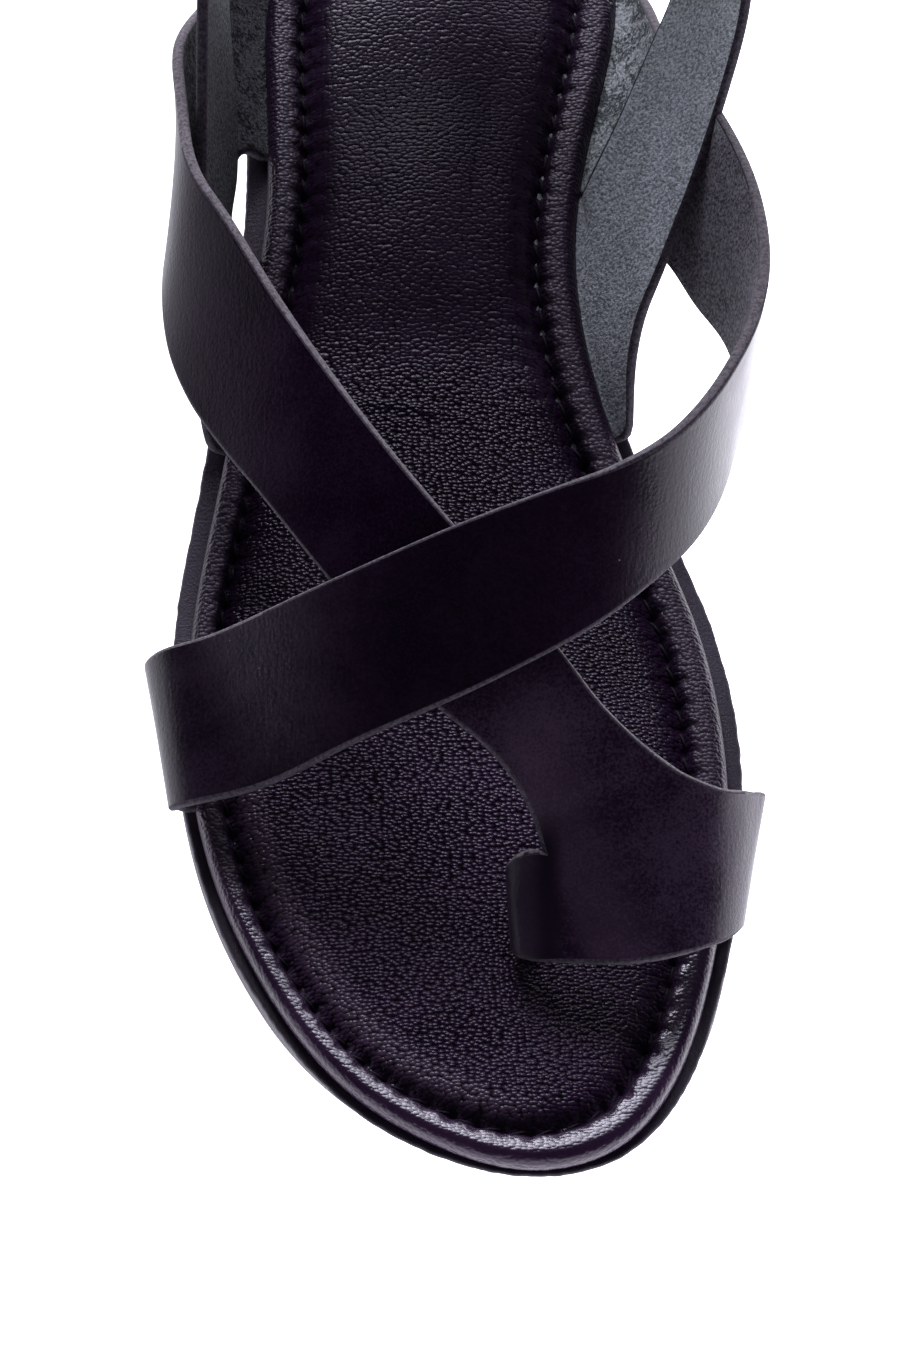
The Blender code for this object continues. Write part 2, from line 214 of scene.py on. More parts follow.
def dust(material):
    """A few pale specks, where the surface passes close to the middle of a wide cell."""
    cell = put(material, "ShaderNodeTexVoronoi", {"Scale": 150.0}, feature="F1")
    join(material, place_on(material), cell.inputs["Vector"])
    return remap(material, cell.outputs["Distance"], 0.012, 0.026, 0.8, 0.0)


def relief(material, height, depth, below=None):
    """Bump of a depth in millimetres, on top of another bump where one is given."""
    node = put(material, "ShaderNodeBump", {"Strength": 1.0, "Distance": depth * MM})
    join(material, height, node.inputs["Height"])
    if below is not None:
        join(material, below, node.inputs["Normal"])
    return node.outputs["Normal"]


print("helpers for patterns ready")

# %% [markdown]
# Floor and light
#
# Black leather shows its shape only by what it mirrors. In a white studio the floor is bright and the
# space above is dim, so faces that turn down catch a pale gleam and level faces stay dark. Area lights
# could give the gleams on the toe, but their edges would show in the leather. So the floor glows by
# itself, a little more at the inner side, and the dim sky has soft bright patches: three behind the heel
# for the toe's rolled edge, and a faint low one in front.

# %% Floor and light
FLOOR_SIZE = 12.0
FLOOR_WHITE = (1.0, 0.99, 1.08)
# A way across the floor, two places along it in metres, and the glow at each
GLOW_WAY = (1.0, -0.1, 0.0)
GLOW_PLACES = (-0.06, 0.05)
FLOOR_GLOW = (1.6, 3.0)
SKY_WHITE = (1.0, 0.97, 1.16)
SKY_DIM = 0.03
# Direction of each soft light as azimuth and height in degrees, half width of its full part, of its
# soft rim, and its strength; azimuth 90 is behind the heel and 180 is the outer side
SOFT_LIGHTS = (
    (98.0, 39.0, 6.0, 15.0, 6.5),
    (74.0, 34.0, 7.0, 18.0, 4.0),
    (100.0, 23.0, 7.0, 16.0, 11.5),
    (-92.0, 10.0, 9.0, 24.0, 1.2),
)

bpy.ops.mesh.primitive_plane_add(size=FLOOR_SIZE)
floor = bpy.context.object
floor.name = "floor"
floor_paint, paint = new_finish("pale floor", (0.3, 0.3, 0.3), 0.9)
paint.inputs["Emission Color"].default_value = (*FLOOR_WHITE, 1.0)
across = towards(floor_paint, place_on(floor_paint), GLOW_WAY)
join(floor_paint, remap(floor_paint, across, *GLOW_PLACES, *FLOOR_GLOW, "LINEAR"),
     paint.inputs["Emission Strength"])
dress(floor, floor_paint)

sky = bpy.data.worlds.new("studio")
sky.use_nodes = True
bpy.context.scene.world = sky
background = sky.node_tree.nodes["Background"]
background.inputs["Color"].default_value = (*SKY_WHITE, 1.0)
direction = put(sky, "ShaderNodeTexCoord").outputs["Generated"]
brightness = SKY_DIM
for azimuth, height, full, rim, strength in SOFT_LIGHTS:
    azimuth, height, full, rim = (math.radians(a) for a in (azimuth, height, full, rim))
    way = (math.cos(azimuth) * math.cos(height), math.sin(azimuth) * math.cos(height), math.sin(height))
    patch = remap(sky, towards(sky, direction, way), math.cos(rim), math.cos(full), 0.0, strength)
    brightness = calculate(sky, "ADD", brightness, patch)
join(sky, brightness, background.inputs["Strength"])

bpy.context.scene.view_settings.view_transform = "Standard"
print("floor and", len(SOFT_LIGHTS), "soft lights ready")

# %% [markdown]
# Outline of the sole
#
# Outsole and footbed share one outline, drawn as a smooth closed curve through 27 points. The toe
# points to -Y and the big-toe side is +X. The points are millimetres in the maker's drawing; the first
# helper moves them so that the origin is under the middle of the sandal, and turns them to metres.

# %% Outline of the sole
MIDDLE = np.array([0.3, 2.5, 0.0])
SOLE_TOE_Y = -126.0
SOLE_OUTLINE = (
    (1.0, 126.0), (-21.5, 119.5), (-32.5, 101.0), (-34.4, 76.0), (-34.7, 52.0), (-38.4, 26.0),
    (-42.4, 2.0), (-46.6, -24.0), (-46.2, -50.0), (-40.8, -73.6), (-32.0, -93.0), (-19.2, -110.8),
    (-4.6, -121.4), (9.5, SOLE_TOE_Y), (24.0, -122.8), (35.0, -110.5), (41.5, -93.5), (45.8, -73.0),
    (47.0, -51.0), (42.4, -23.0), (32.6, 1.5), (25.4, 24.0), (23.2, 44.0), (26.6, 66.0), (32.6, 90.0),
    (32.0, 105.0), (21.5, 120.0),
)


def to_metres(points):
    return (np.asarray(points) - MIDDLE) * MM


def bridge(t, start, leave, end, arrive):
    """Smooth curve between two places, with the runs at which it leaves and arrives."""
    return ((1.0 + 2.0 * t) * (1.0 - t) ** 2 * start + t * (1.0 - t) ** 2 * leave
            + t * t * (3.0 - 2.0 * t) * end + t * t * (t - 1.0) * arrive)


def run_of(points):
    """Length of a line of points up to each of them."""
    return np.concatenate([[0.0], np.cumsum(np.linalg.norm(np.diff(points, axis=0), axis=1))])


def closed_curve(points, count):
    """Even samples of a smooth closed curve through the points."""
    p = np.array(points)
    n = len(p)
    step = np.linalg.norm(np.roll(p, -1, 0) - p, axis=1)
    before = np.roll(step, 1)
    rows = np.arange(n)
    matrix = np.zeros((n, n))
    matrix[rows, rows] = 2.0 * (before + step)
    matrix[rows, (rows - 1) % n] = step
    matrix[rows, (rows + 1) % n] = before
    slope_after = (np.roll(p, -1, 0) - p) / step[:, None]
    slope_before = np.roll(slope_after, 1, 0)
    pull = 3.0 * (step[:, None] * slope_before + before[:, None] * slope_after)
    tangent = np.linalg.solve(matrix, pull)
    t = np.linspace(0.0, 1.0, 60, endpoint=False)[:, None]
    fine = []
    for i in range(n):
        j = (i + 1) % n
        fine.append(bridge(t, p[i], step[i] * tangent[i], p[j], step[i] * tangent[j]))
    fine = np.concatenate(fine + [fine[0][:1]])
    along = run_of(fine)
    at = np.linspace(0.0, along[-1], count, endpoint=False)
    return np.stack([np.interp(at, along, fine[:, k]) for k in range(2)], axis=1)


def outward(curve):
    """Unit normals that point out of the outline, which runs round the outer side first."""
    along = np.roll(curve, -1, 0) - np.roll(curve, 1, 0)
    normal = np.stack([-along[:, 1], along[:, 0]], axis=1)
    normal /= np.linalg.norm(normal, axis=1, keepdims=True)
    return normal * np.sign(np.sum(normal * (curve - curve.mean(0))))


def smooth(t):
    t = np.clip(t, 0.0, 1.0)
    return t * t * (3.0 - 2.0 * t)


# Height of the toe spring and where it starts; height, start and length of the arch
TOE_SPRING, SPRING_FROM = 7.0, -69.0
ARCH_HEIGHT, ARCH_FROM, ARCH_LENGTH = 2.5, -2.0, 60.0
# Thickness at the forefoot, and how much more there is at the heel, from where and over what length
FORE_THICKNESS = 5.0
HEEL_RISE, RISE_FROM, RISE_LENGTH = 8.0, -29.0, 95.0


def sole_spring(y):
    return TOE_SPRING * np.clip((SPRING_FROM - y) / (SPRING_FROM - SOLE_TOE_Y), 0.0, 1.2) ** 2


def sole_under(y):
    arch = np.clip((y - ARCH_FROM) / ARCH_LENGTH, 0.0, 1.0)
    return sole_spring(y) + ARCH_HEIGHT * np.sin(np.pi * arch) ** 2


def sole_top(y):
    return sole_spring(y) + FORE_THICKNESS + HEEL_RISE * smooth((y - RISE_FROM) / RISE_LENGTH)


print("outline length", round(float(run_of(closed_curve(SOLE_OUTLINE, 500))[-1])), "mm")

# %% [markdown]
# Outsole
#
# The outsole is a thin moulded plate of matt black rubber. It could be extruded from the outline and
# bevelled, but its top and underside rise differently along the foot. So a flat grid is laid round the
# outline like a belt: each row of vertices becomes one ring, from the middle of the underside, round
# the rim, to the middle of the top. The belt's two ends and the middles are then merged.

# %% Outsole
# How far the middle line stops short of both ends of a ring
CORE_END = 14.0


def middle_line(ring):
    """For each point of a ring, its place on the middle line that the ring shrinks to."""
    n = len(ring)
    partner = ring[(n - np.arange(n)) % n]
    middle = (ring + partner) / 2.0
    half = n // 2
    order = np.argsort(middle[: half + 1, 1])
    low, high = middle[:, 1].min() + CORE_END, middle[:, 1].max() - CORE_END
    y = np.clip(middle[:, 1], low, high)
    x = np.interp(y, middle[: half + 1, 1][order], middle[: half + 1, 0][order])
    return np.stack([x, y], axis=1)


def belt(name, rings, along, across):
    """A grid laid round in rings, with its own pattern map: along the edge and in from the edge."""
    rings = np.asarray(rings)
    count = rings.shape[1]
    bpy.ops.object.select_all(action="DESELECT")
    bpy.ops.mesh.primitive_grid_add(x_subdivisions=count, y_subdivisions=len(rings) - 1, size=1.0)
    piece = bpy.context.object
    piece.name = name
    piece.data.name = name
    closed = np.concatenate([rings, rings[:, :1]], axis=1)
    piece.data.vertices.foreach_set("co", to_metres(closed).ravel())
    corner = np.zeros(len(piece.data.loops), dtype=np.int32)
    piece.data.loops.foreach_get("vertex_index", corner)
    uv = np.stack([along[corner % (count + 1)], across[corner // (count + 1)]], axis=1) * MM
    piece.data.uv_layers.active.data.foreach_set("uv", uv.ravel())
    piece.data.update()
    bpy.ops.object.mode_set(mode="EDIT")
    bpy.ops.mesh.select_all(action="SELECT")
    bpy.ops.mesh.remove_doubles(threshold=0.000002)
    bpy.ops.mesh.normals_make_consistent(inside=False)
    bpy.ops.object.mode_set(mode="OBJECT")
    bpy.ops.object.shade_smooth_by_angle(angle=math.radians(50.0))
    return piece


SOLE_POINTS = 1300
# Radius of the rim's lower and upper rounding, and where the plate's flat inside starts
LOWER_ROUND, UPPER_ROUND = 1.0, 0.7
SOLE_INSIDE = 16.0
# How far the rim leans in under the toe, from where and over what length
UNDERCUT, UNDERCUT_FROM, UNDERCUT_LENGTH = 1.8, -95.0, 30.0
# Share of the way round from the heel back by the outer side, how far the rim stands beyond the outline
RIM_STAND = np.array((
    (0.00, 0.0), (0.20, 0.1), (0.26, 0.3), (0.34, 0.4), (0.37, 0.9), (0.40, 1.2), (0.46, 1.1),
    (0.48, 0.8), (0.50, 0.0), (0.56, 0.0), (0.64, 0.2), (0.67, 0.5), (0.72, 0.8), (0.76, 1.2),
    (0.79, 1.8), (0.82, 2.2), (0.87, 2.2), (0.90, 1.0), (0.95, 0.0), (1.00, 0.0),
))


def soften(values, passes):
    for _ in range(passes):
        values = (np.roll(values, 1) + 2.0 * values + np.roll(values, -1)) / 4.0
    return values


sole_edge = closed_curve(SOLE_OUTLINE, SOLE_POINTS)
sole_out = outward(sole_edge)
sole_share = np.arange(SOLE_POINTS) / SOLE_POINTS
stand = soften(np.interp(sole_share, RIM_STAND[:, 0], RIM_STAND[:, 1]), passes=300)
sole_edge = sole_edge + sole_out * stand[:, None]
undercut = UNDERCUT * smooth((UNDERCUT_FROM - sole_edge[:, 1]) / UNDERCUT_LENGTH)
chance = np.random.default_rng(5)
ragged = soften(chance.normal(0.0, 0.07, SOLE_POINTS), 2)
ragged = ragged + soften(chance.normal(0.0, 0.12, SOLE_POINTS), 40)
inner = sole_edge - sole_out * SOLE_INSIDE
core = middle_line(inner)
rings = []


def sole_ring(distance, height):
    flat = sole_edge - sole_out * np.broadcast_to(distance, SOLE_POINTS)[:, None]
    rings.append(np.column_stack([flat, height(flat[:, 1])]))


def sole_middle(shares, height):
    for share in shares:
        flat = inner + (core - inner) * share
        rings.append(np.column_stack([flat, height(flat[:, 1])]))


def wall(share):
    """Height on the rim's upright part, as a share of the way up."""
    return lambda y: (sole_under(y) + LOWER_ROUND
                      + share * (sole_top(y) - UPPER_ROUND - sole_under(y) - LOWER_ROUND))


quarter_turn = np.radians((0.0, 30.0, 60.0, 90.0))
sole_middle((1.0, 0.5), sole_under)
for distance in (SOLE_INSIDE, 9.0, 4.0):
    sole_ring(distance, sole_under)
for turn in quarter_turn:
    sole_ring(undercut + LOWER_ROUND * (1.0 - np.sin(turn)),
              lambda y: sole_under(y) + LOWER_ROUND * (1.0 - np.cos(turn)))
for share in (0.35, 0.7):
    sole_ring(undercut * (1.0 - share) + ragged * 0.6, wall(share))
for turn in quarter_turn:
    sole_ring(UPPER_ROUND * (1.0 - np.cos(turn)) + ragged * np.cos(turn),
              lambda y: sole_top(y) - UPPER_ROUND * (1.0 - np.sin(turn)))
for distance in (3.0, 8.0, SOLE_INSIDE):
    sole_ring(distance, sole_top)
sole_middle((0.5, 1.0), sole_top)

sole_along = run_of(np.concatenate([sole_edge, sole_edge[:1]]))
outsole = belt("outsole_rubber", rings, sole_along, np.arange(len(rings)) * 1.0)
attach(outsole, "root")
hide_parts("outsole")
print("outsole:", len(outsole.data.polygons), "faces")

# %% [markdown]
# Rubber finish
#
# Moulded rubber is matt and almost black, with a fine dull tooth and faint cloudy scuffs. Fine noise
# drives the bump; broad noise shifts colour and roughness a little so that the rim is not one flat tone.
# In the corner under the strap ends at the inner waist the rubber is painted black, as painted shade.

# %% Rubber finish
# Painted shade: the rubber turns black within a few millimetres of this place, in the corner under the
# strap ends.
CORNER_SHADE_PLACE = (24.5, 52.0, 12.5)
rubber, shader = new_finish("moulded rubber", (0.012, 0.010, 0.014), 0.6)
where = place_on(rubber)
scuff = noise(rubber, where, 9.0, 4.0, 0.6)
tooth = noise(rubber, where, 0.5, 3.0, 0.6)
corner_shade_spot = put(rubber, "ShaderNodeVectorMath", {1: tuple(to_metres(CORNER_SHADE_PLACE))}, operation="DISTANCE")
join(rubber, where, corner_shade_spot.inputs[0])
corner_shade = remap(rubber, corner_shade_spot.outputs["Value"], 3.5 * MM, 6.5 * MM, 1.0, 0.0)
cloudy = remap(rubber, scuff, 0.35, 0.75, 0.0, 1.0)
black = blend(rubber, cloudy, (0.030, 0.020, 0.036), (0.068, 0.054, 0.080))
join(rubber, blend(rubber, corner_shade, black, (0.002, 0.002, 0.002)), shader.inputs["Base Color"])
join(rubber, remap(rubber, scuff, 0.3, 0.7, 0.52, 0.68), shader.inputs["Roughness"])
join(rubber, relief(rubber, tooth, 0.14), shader.inputs["Normal"])
dress(outsole, rubber)
print("rubber finish on the outsole")

# %% [markdown]
# Footbed
#
# The footbed is a padded insole: soft leather is drawn over a board, rolled at the edge, and sewn down
# in a groove about 8 mm from the edge. Its cross-section is one short table, run round the outline in
# rings. At each needle hole the groove has a pit and both lips are pulled in, so the roll looks sewn.

# %% Footbed: outline, section and seam
FOOTBED_POINTS = 1240
STITCH_PITCH = 4.3
GROOVE_INSET = 8.3
BASE_GAP = 0.3
# Share of the way round from the heel back by the outer side, inset of the edge, inset of the groove
FOOTBED_RUN = np.array((
    (0.00, 2.6, 9.4), (0.06, 3.0, 9.6), (0.12, 3.6, 10.0), (0.16, 3.7, 10.0), (0.21, 3.5, 9.2),
    (0.26, 3.1, 8.0), (0.30, 2.7, 7.4), (0.35, 1.2, 6.0), (0.39, 0.6, 5.1), (0.42, 0.3, 4.9),
    (0.45, 0.2, 5.0), (0.48, 0.2, 5.4), (0.50, 0.3, 6.1), (0.52, 0.7, 7.0), (0.54, 1.4, 7.8),
    (0.56, 1.8, 8.0), (0.60, 2.1, 8.3), (0.65, 2.4, 9.1), (0.68, 2.5, 9.3), (0.72, 2.3, 9.0),
    (0.77, 1.5, 8.5), (0.80, 1.0, 8.0), (0.83, 0.6, 7.3), (0.86, 0.6, 7.4), (0.89, 1.4, 8.4),
    (0.92, 1.8, 9.0), (0.96, 2.2, 9.2), (1.00, 2.6, 9.4),
))
# Section from the edge inwards: inset and height
FOOTBED_SECTION = np.array((
    (1.6, 0.0), (0.7, 0.0), (0.2, 0.35), (0.0, 1.0), (0.03, 1.7), (0.22, 2.65), (0.65, 3.5),
    (1.35, 4.15), (2.2, 4.58), (3.1, 4.77), (4.2, 4.76), (5.2, 4.69), (6.1, 4.57), (6.9, 4.30),
    (7.5, 3.65), (8.3, 2.45), (9.2, 2.95), (10.3, 4.05), (12.0, 5.0), (14.0, 5.6), (17.0, 6.05),
    (20.0, 6.35),
))


def even_section(table, steps):
    """Smooth curve through the table's points, with more points where the step list says so."""
    before = np.concatenate([[2.0 * table[0] - table[1]], table[:-1]])
    after = np.concatenate([table[1:], [2.0 * table[-1] - table[-2]]])
    tangent = (after - before) / 2.0
    out = []
    for i in range(len(table) - 1):
        for t in np.linspace(0.0, 1.0, steps, endpoint=False):
            out.append(bridge(t, table[i], tangent[i], table[i + 1], tangent[i + 1]))
    return np.array(out + [table[-1]])


edge = closed_curve(SOLE_OUTLINE, FOOTBED_POINTS)
edge_out = outward(edge)
share = np.arange(FOOTBED_POINTS) / FOOTBED_POINTS
rim = soften(np.interp(share, FOOTBED_RUN[:, 0], FOOTBED_RUN[:, 1]), passes=350)
groove_in = soften(np.interp(share, FOOTBED_RUN[:, 0], FOOTBED_RUN[:, 2]), passes=350)
bed_edge = edge - edge_out * rim[:, None]
bed_out = outward(bed_edge)
roll_width = groove_in - rim


def bed_ring(inset):
    """Ring at an inset of the section: the roll is squeezed to its width, the padding follows on."""
    if inset <= GROOVE_INSET:
        inside = inset / GROOVE_INSET * roll_width
    else:
        inside = roll_width + inset - GROOVE_INSET
    return bed_edge - bed_out * np.broadcast_to(inside, FOOTBED_POINTS)[:, None]


groove = bed_ring(GROOVE_INSET)
groove_along = run_of(np.concatenate([groove, groove[:1]]))
stitch_count = int(round(groove_along[-1] / STITCH_PITCH))
pitch = groove_along[-1] / stitch_count
hole = np.round(groove_along[:-1] / pitch)
to_hole = groove_along[:-1] - hole * pitch
chance = np.random.default_rng(11)
hole_pull = chance.uniform(0.65, 1.35, stitch_count)[hole.astype(int) % stitch_count]
hole_lean = chance.uniform(-0.35, 0.35, stitch_count)[hole.astype(int) % stitch_count]
outer_tuck, inner_tuck = (soften(chance.normal(0.0, 1.0, FOOTBED_POINTS), 2) for _ in range(2))
print("seam of", stitch_count, "stitches, one each", round(pitch, 2), "mm")


# %% Footbed: pull of the thread and creases
def bell(distance, width):
    return np.exp(-(distance / width) ** 2)


def sewn(inset):
    """How much the thread draws the leather down at one distance from the edge."""
    pit = 0.75 * bell(inset - GROOVE_INSET, 0.8) * bell(to_hole - hole_lean, 0.7)
    outer = 0.46 * bell(inset - 6.7, 1.2) * bell(to_hole + 0.2, 0.8)
    inside = 0.26 * bell(inset - 10.4, 1.6) * bell(to_hole - 0.2, 0.85)
    tucks = 0.07 * (outer_tuck * bell(inset - 6.6, 1.1) + inner_tuck * bell(inset - 10.2, 1.5))
    return hole_pull * (pit + outer + inside) + tucks


# Places along a crease in the padding, its half width and its depth; below 0 it is a ridge
CREASES = (
    (((-20.5, 14.6), (-15.0, 13.5), (-10.0, 12.9), (-5.0, 12.0), (2.0, 10.2), (9.0, 7.5)), 0.7, -0.20),
    (((-13.0, 8.6), (-6.0, 7.4), (1.0, 5.4)), 0.9, 0.16),
    (((9.0, 22.0), (13.0, 21.0), (17.5, 21.6)), 0.8, 0.18),
    (((10.0, 15.4), (14.5, 14.6), (19.0, 15.4)), 0.8, 0.20),
    (((9.5, 29.0), (13.5, 28.2), (17.0, 28.8)), 0.9, 0.14),
    (((-22.0, -96.0), (-10.0, -103.0), (4.0, -106.5), (18.0, -104.0)), 3.2, 0.22),
    (((-32.0, -20.0), (-27.0, -24.0), (-24.0, -31.0)), 1.6, 0.16),
)


def creased(flat):
    """Depth of the creases at points of the footbed: a trough with a soft ridge on both sides."""
    depth_here = np.zeros(len(flat))
    for places, width, depth in CREASES:
        line = np.array(places)
        t = np.linspace(0.0, len(line) - 1.0, 80)
        fine = np.stack([np.interp(t, np.arange(len(line)), line[:, k]) for k in range(2)], axis=1)
        away = np.linalg.norm(flat[:, None] - fine[None], axis=2)
        nearest = np.argmin(away, axis=1)
        distance = np.min(away, axis=1)
        fade = np.sin(np.pi * nearest / 79.0) ** 0.6
        trough = bell(distance, width) - 0.4 * bell(distance - 2.2 * width, width)
        depth_here += depth * fade * trough
    return depth_here


print(len(CREASES), "creases in the padding")

# %% Footbed: rings
# Side of the sole and the stretch along it where each strap end comes out
STRAP_EXITS = {
    "front outer": (-1, -58.8, -34.0), "front inner": (1, 55.0, 96.5), "toe outer": (-1, 63.0, 99.0),
    "toe inner": (1, -81.6, -60.0), "heel inner": (1, 8.5, 54.8), "heel outer": (-1, 7.0, 43.0),
}
# Room above the sole that a strap end takes up under the footbed
STRAP_ROOM = 2.15
# Height of the padding where its section ends, and how much it rises from there to the middle
PADDING_HEIGHT, CROWN = 6.35, 0.75
PADDING_INSET = 20.0
over_strap = np.zeros(FOOTBED_POINTS)
for side, y_from, y_to in STRAP_EXITS.values():
    inside = (np.sign(bed_edge[:, 0]) == side)
    window = smooth((bed_edge[:, 1] - y_from + 2.0) / 2.0) * smooth((y_to + 2.0 - bed_edge[:, 1]) / 2.0)
    over_strap = np.maximum(over_strap, inside * window)

section = even_section(FOOTBED_SECTION, 2)
rings = []
depths = []
for inset, height in section:
    flat = bed_ring(inset)
    lifted = np.maximum(height, STRAP_ROOM * over_strap) if height < STRAP_ROOM else height
    z = sole_top(flat[:, 1]) + BASE_GAP + lifted
    if inset > 4.0:
        z = z - sewn(inset)
    if inset > 11.0:
        z = z - creased(flat)
    rings.append(np.column_stack([flat, z]))
    depths.append(inset)
inner = bed_ring(PADDING_INSET)
core = middle_line(inner)
for share in np.linspace(0.04, 1.0, 25):
    flat = inner + (core - inner) * share
    crown = PADDING_HEIGHT + CROWN * (1.0 - (1.0 - share) ** 2)
    rings.append(np.column_stack([flat, sole_top(flat[:, 1]) + BASE_GAP + crown - creased(flat)]))
    depths.append(PADDING_INSET + 10.0 * share)
under = []
for share in (1.0, 0.5):
    flat = inner + (core - inner) * share
    under.append(np.column_stack([flat, sole_top(flat[:, 1]) + BASE_GAP]))
for inset in (PADDING_INSET, 12.0, 5.0):
    flat = bed_ring(inset)
    lifted = STRAP_ROOM * over_strap * (inset < 10.0)
    under.append(np.column_stack([flat, sole_top(flat[:, 1]) + BASE_GAP + lifted]))
depths = np.array([30.0, 25.0, PADDING_INSET, 12.0, 5.0] + depths)
footbed = belt("footbed_leather", under + rings, groove_along, depths)
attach(footbed, "root")
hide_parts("footbed")
print("footbed:", len(footbed.data.polygons), "faces")

# %% [markdown]
# Footbed leather
#
# Soft black leather with a pebbled grain and a half gloss. Voronoi cells make the pebbles: each is a dome
# that falls with the distance from the cell's middle, and a noise warps the cells so that no two are
# alike. The domes are lower behind the waist, where the foot has worn them smooth. Near the seam fine
# wrinkles run square to the groove; they read the pattern map laid on the belt, which knows the way along
# the edge and the distance from it. The rolled edge at the toe has a polish of its own, as a coat.

# %% Footbed leather: pebbles, wrinkles and places
hide, shader = new_finish("pebbled leather", (0.010, 0.007, 0.012), 0.30)
where = place_on(hide, (0.86, 1.16, 1.0))
warp = put(hide, "ShaderNodeTexNoise", {"Scale": 420.0, "Detail": 1.0})
join(hide, where, warp.inputs["Vector"])
shift = put(hide, "ShaderNodeVectorMath", {1: (0.0003, 0.0003, 0.0003)}, operation="MULTIPLY_ADD")
join(hide, warp.outputs["Color"], shift.inputs[0])
join(hide, where, shift.inputs[2])
cells = []
for flatness, size in (("2D", 1260.0), ("3D", 1300.0)):
    pebble = put(hide, "ShaderNodeTexVoronoi", {"Scale": size, "Randomness": 0.8},
                 feature="F1", voronoi_dimensions=flatness)
    join(hide, shift.outputs[0], pebble.inputs["Vector"])
    cells.append(pebble.outputs["Distance"])
domes = [times(hide, calculate(hide, "POWER", cell, 2.0), -1.0) for cell in cells]
fine = noise(hide, where, 0.25, 2.0, 0.6)
broad = noise(hide, where, 14.0, 3.0, 0.55)
seam_map = put(hide, "ShaderNodeUVMap", uv_map="UVMap").outputs["UV"]
stretch = put(hide, "ShaderNodeMapping", {"Scale": (1.0, 0.16, 1.0)})
join(hide, seam_map, stretch.inputs["Vector"])
wrinkle = noise(hide, stretch.outputs["Vector"], 1.0, 2.0, 0.5, 0.4)
from_edge = parts(hide, seam_map)["Y"]
foot_x, foot_y, _ = parts(hide, place_on(hide))
near_seam = band(hide, from_edge, GROOVE_INSET, 1.0, 4.5)
padding = remap(hide, from_edge, 7.0 * MM, 9.5 * MM, 0.0, 1.0)
roll = calculate(hide, "SUBTRACT", 1.0, padding)
at_toe = remap(hide, foot_y, -60.0 * MM, -100.0 * MM, 0.0, 1.0)
print("pebbles, wrinkles and places of the footbed leather ready")

# %% Footbed leather: colours, gloss and relief
mottled = remap(hide, broad, 0.35, 0.7, 0.0, 1.0)
rear = blend(hide, mottled, (0.0120, 0.0045, 0.0160), (0.0235, 0.0115, 0.0290))
front = blend(hide, mottled, (0.0220, 0.0085, 0.0290), (0.0380, 0.0170, 0.0470))
# Painted sheen: the base colour is lighter along the crest of the rolled edge, less so at the toe.
crest_sheen = times(hide, band(hide, from_edge, 4.4, 0.6, 3.0), remap(hide, at_toe, 0.0, 1.0, 1.0, 0.2))
# Painted sheen: a lighter band on the padding's shoulder inside the seam, at the outer side of the
# forefoot.
border_sheen = times(hide, band(hide, from_edge, 12.6, 0.8, 3.4),
               remap(hide, foot_x, 0.0, 14.0 * MM, 0.8, 0.0),
               remap(hide, foot_y, -40.0 * MM, -65.0 * MM, 0.0, 1.0))
# Painted shade: the base colour goes almost black in the creases between the pebbles.
crease = times(hide, padding, remap(hide, cells[0], 0.44, 0.70, 0.0, 0.8))
ground = blend(hide, remap(hide, foot_y, -30.0 * MM, -70.0 * MM, 0.0, 1.0), rear, front)
for place, tone in ((crest_sheen, (0.052, 0.037, 0.056)), (border_sheen, (0.088, 0.057, 0.090)),
                    (crease, (0.003, 0.001, 0.004)), (dust(hide), DUST)):
    ground = blend(hide, place, ground, tone)
join(hide, ground, shader.inputs["Base Color"])
shader.inputs["Specular IOR Level"].default_value = 0.20
polish = times(hide, roll, at_toe, remap(hide, from_edge, 1.6 * MM, 3.4 * MM, 0.0, 1.0))
join(hide, remap(hide, polish, 0.0, 1.0, 0.03, 1.0), shader.inputs["Coat Weight"])
shader.inputs["Coat Roughness"].default_value = 0.24
gloss = put(hide, "ShaderNodeMix", {"B": 0.24}, data_type="FLOAT")
join(hide, padding, gloss.inputs[0])
join(hide, remap(hide, at_toe, 0.0, 1.0, 0.38, 0.22), gloss.inputs["A"])
join(hide, gloss.outputs[0], shader.inputs["Roughness"])
on_padding = times(hide, domes[0], padding,
                   remap(hide, foot_y, 30.0 * MM, 0.0, 0.24, 1.0),
                   remap(hide, from_edge, 10.0 * MM, 16.0 * MM, 0.7, 1.0))
on_roll = times(hide, domes[1], roll, remap(hide, at_toe, 0.0, 1.0, 1.0, 0.40))
reliefs = ((times(hide, wrinkle, near_seam), 0.18), (on_padding, 0.46), (on_roll, 0.24), (fine, 0.008))
covered = None
for height, depth in reliefs:
    covered = relief(hide, height, depth, covered)
join(hide, covered, shader.inputs["Normal"])
join(hide, covered, shader.inputs["Coat Normal"])
dress(footbed, hide)
print("pebbled leather on the footbed")

# %% [markdown]
# Stitches
#
# The seam is sewn with waxed black thread. One stitch is modelled: a short rod whose ends bend down into
# the needle holes. Then it is copied along the groove, each copy with its own mesh and a small lean, and
# all copies are joined to one piece.

# %% Stitches
# Radius of the thread, where a stitch is cut to bend, how far its ends sink, and how high it lies
THREAD = 0.30
BEND_CUTS = (-1.45, -0.8, 0.0, 0.8, 1.45)
STITCH_SINK = 0.95
STITCH_HEIGHT = 2.62


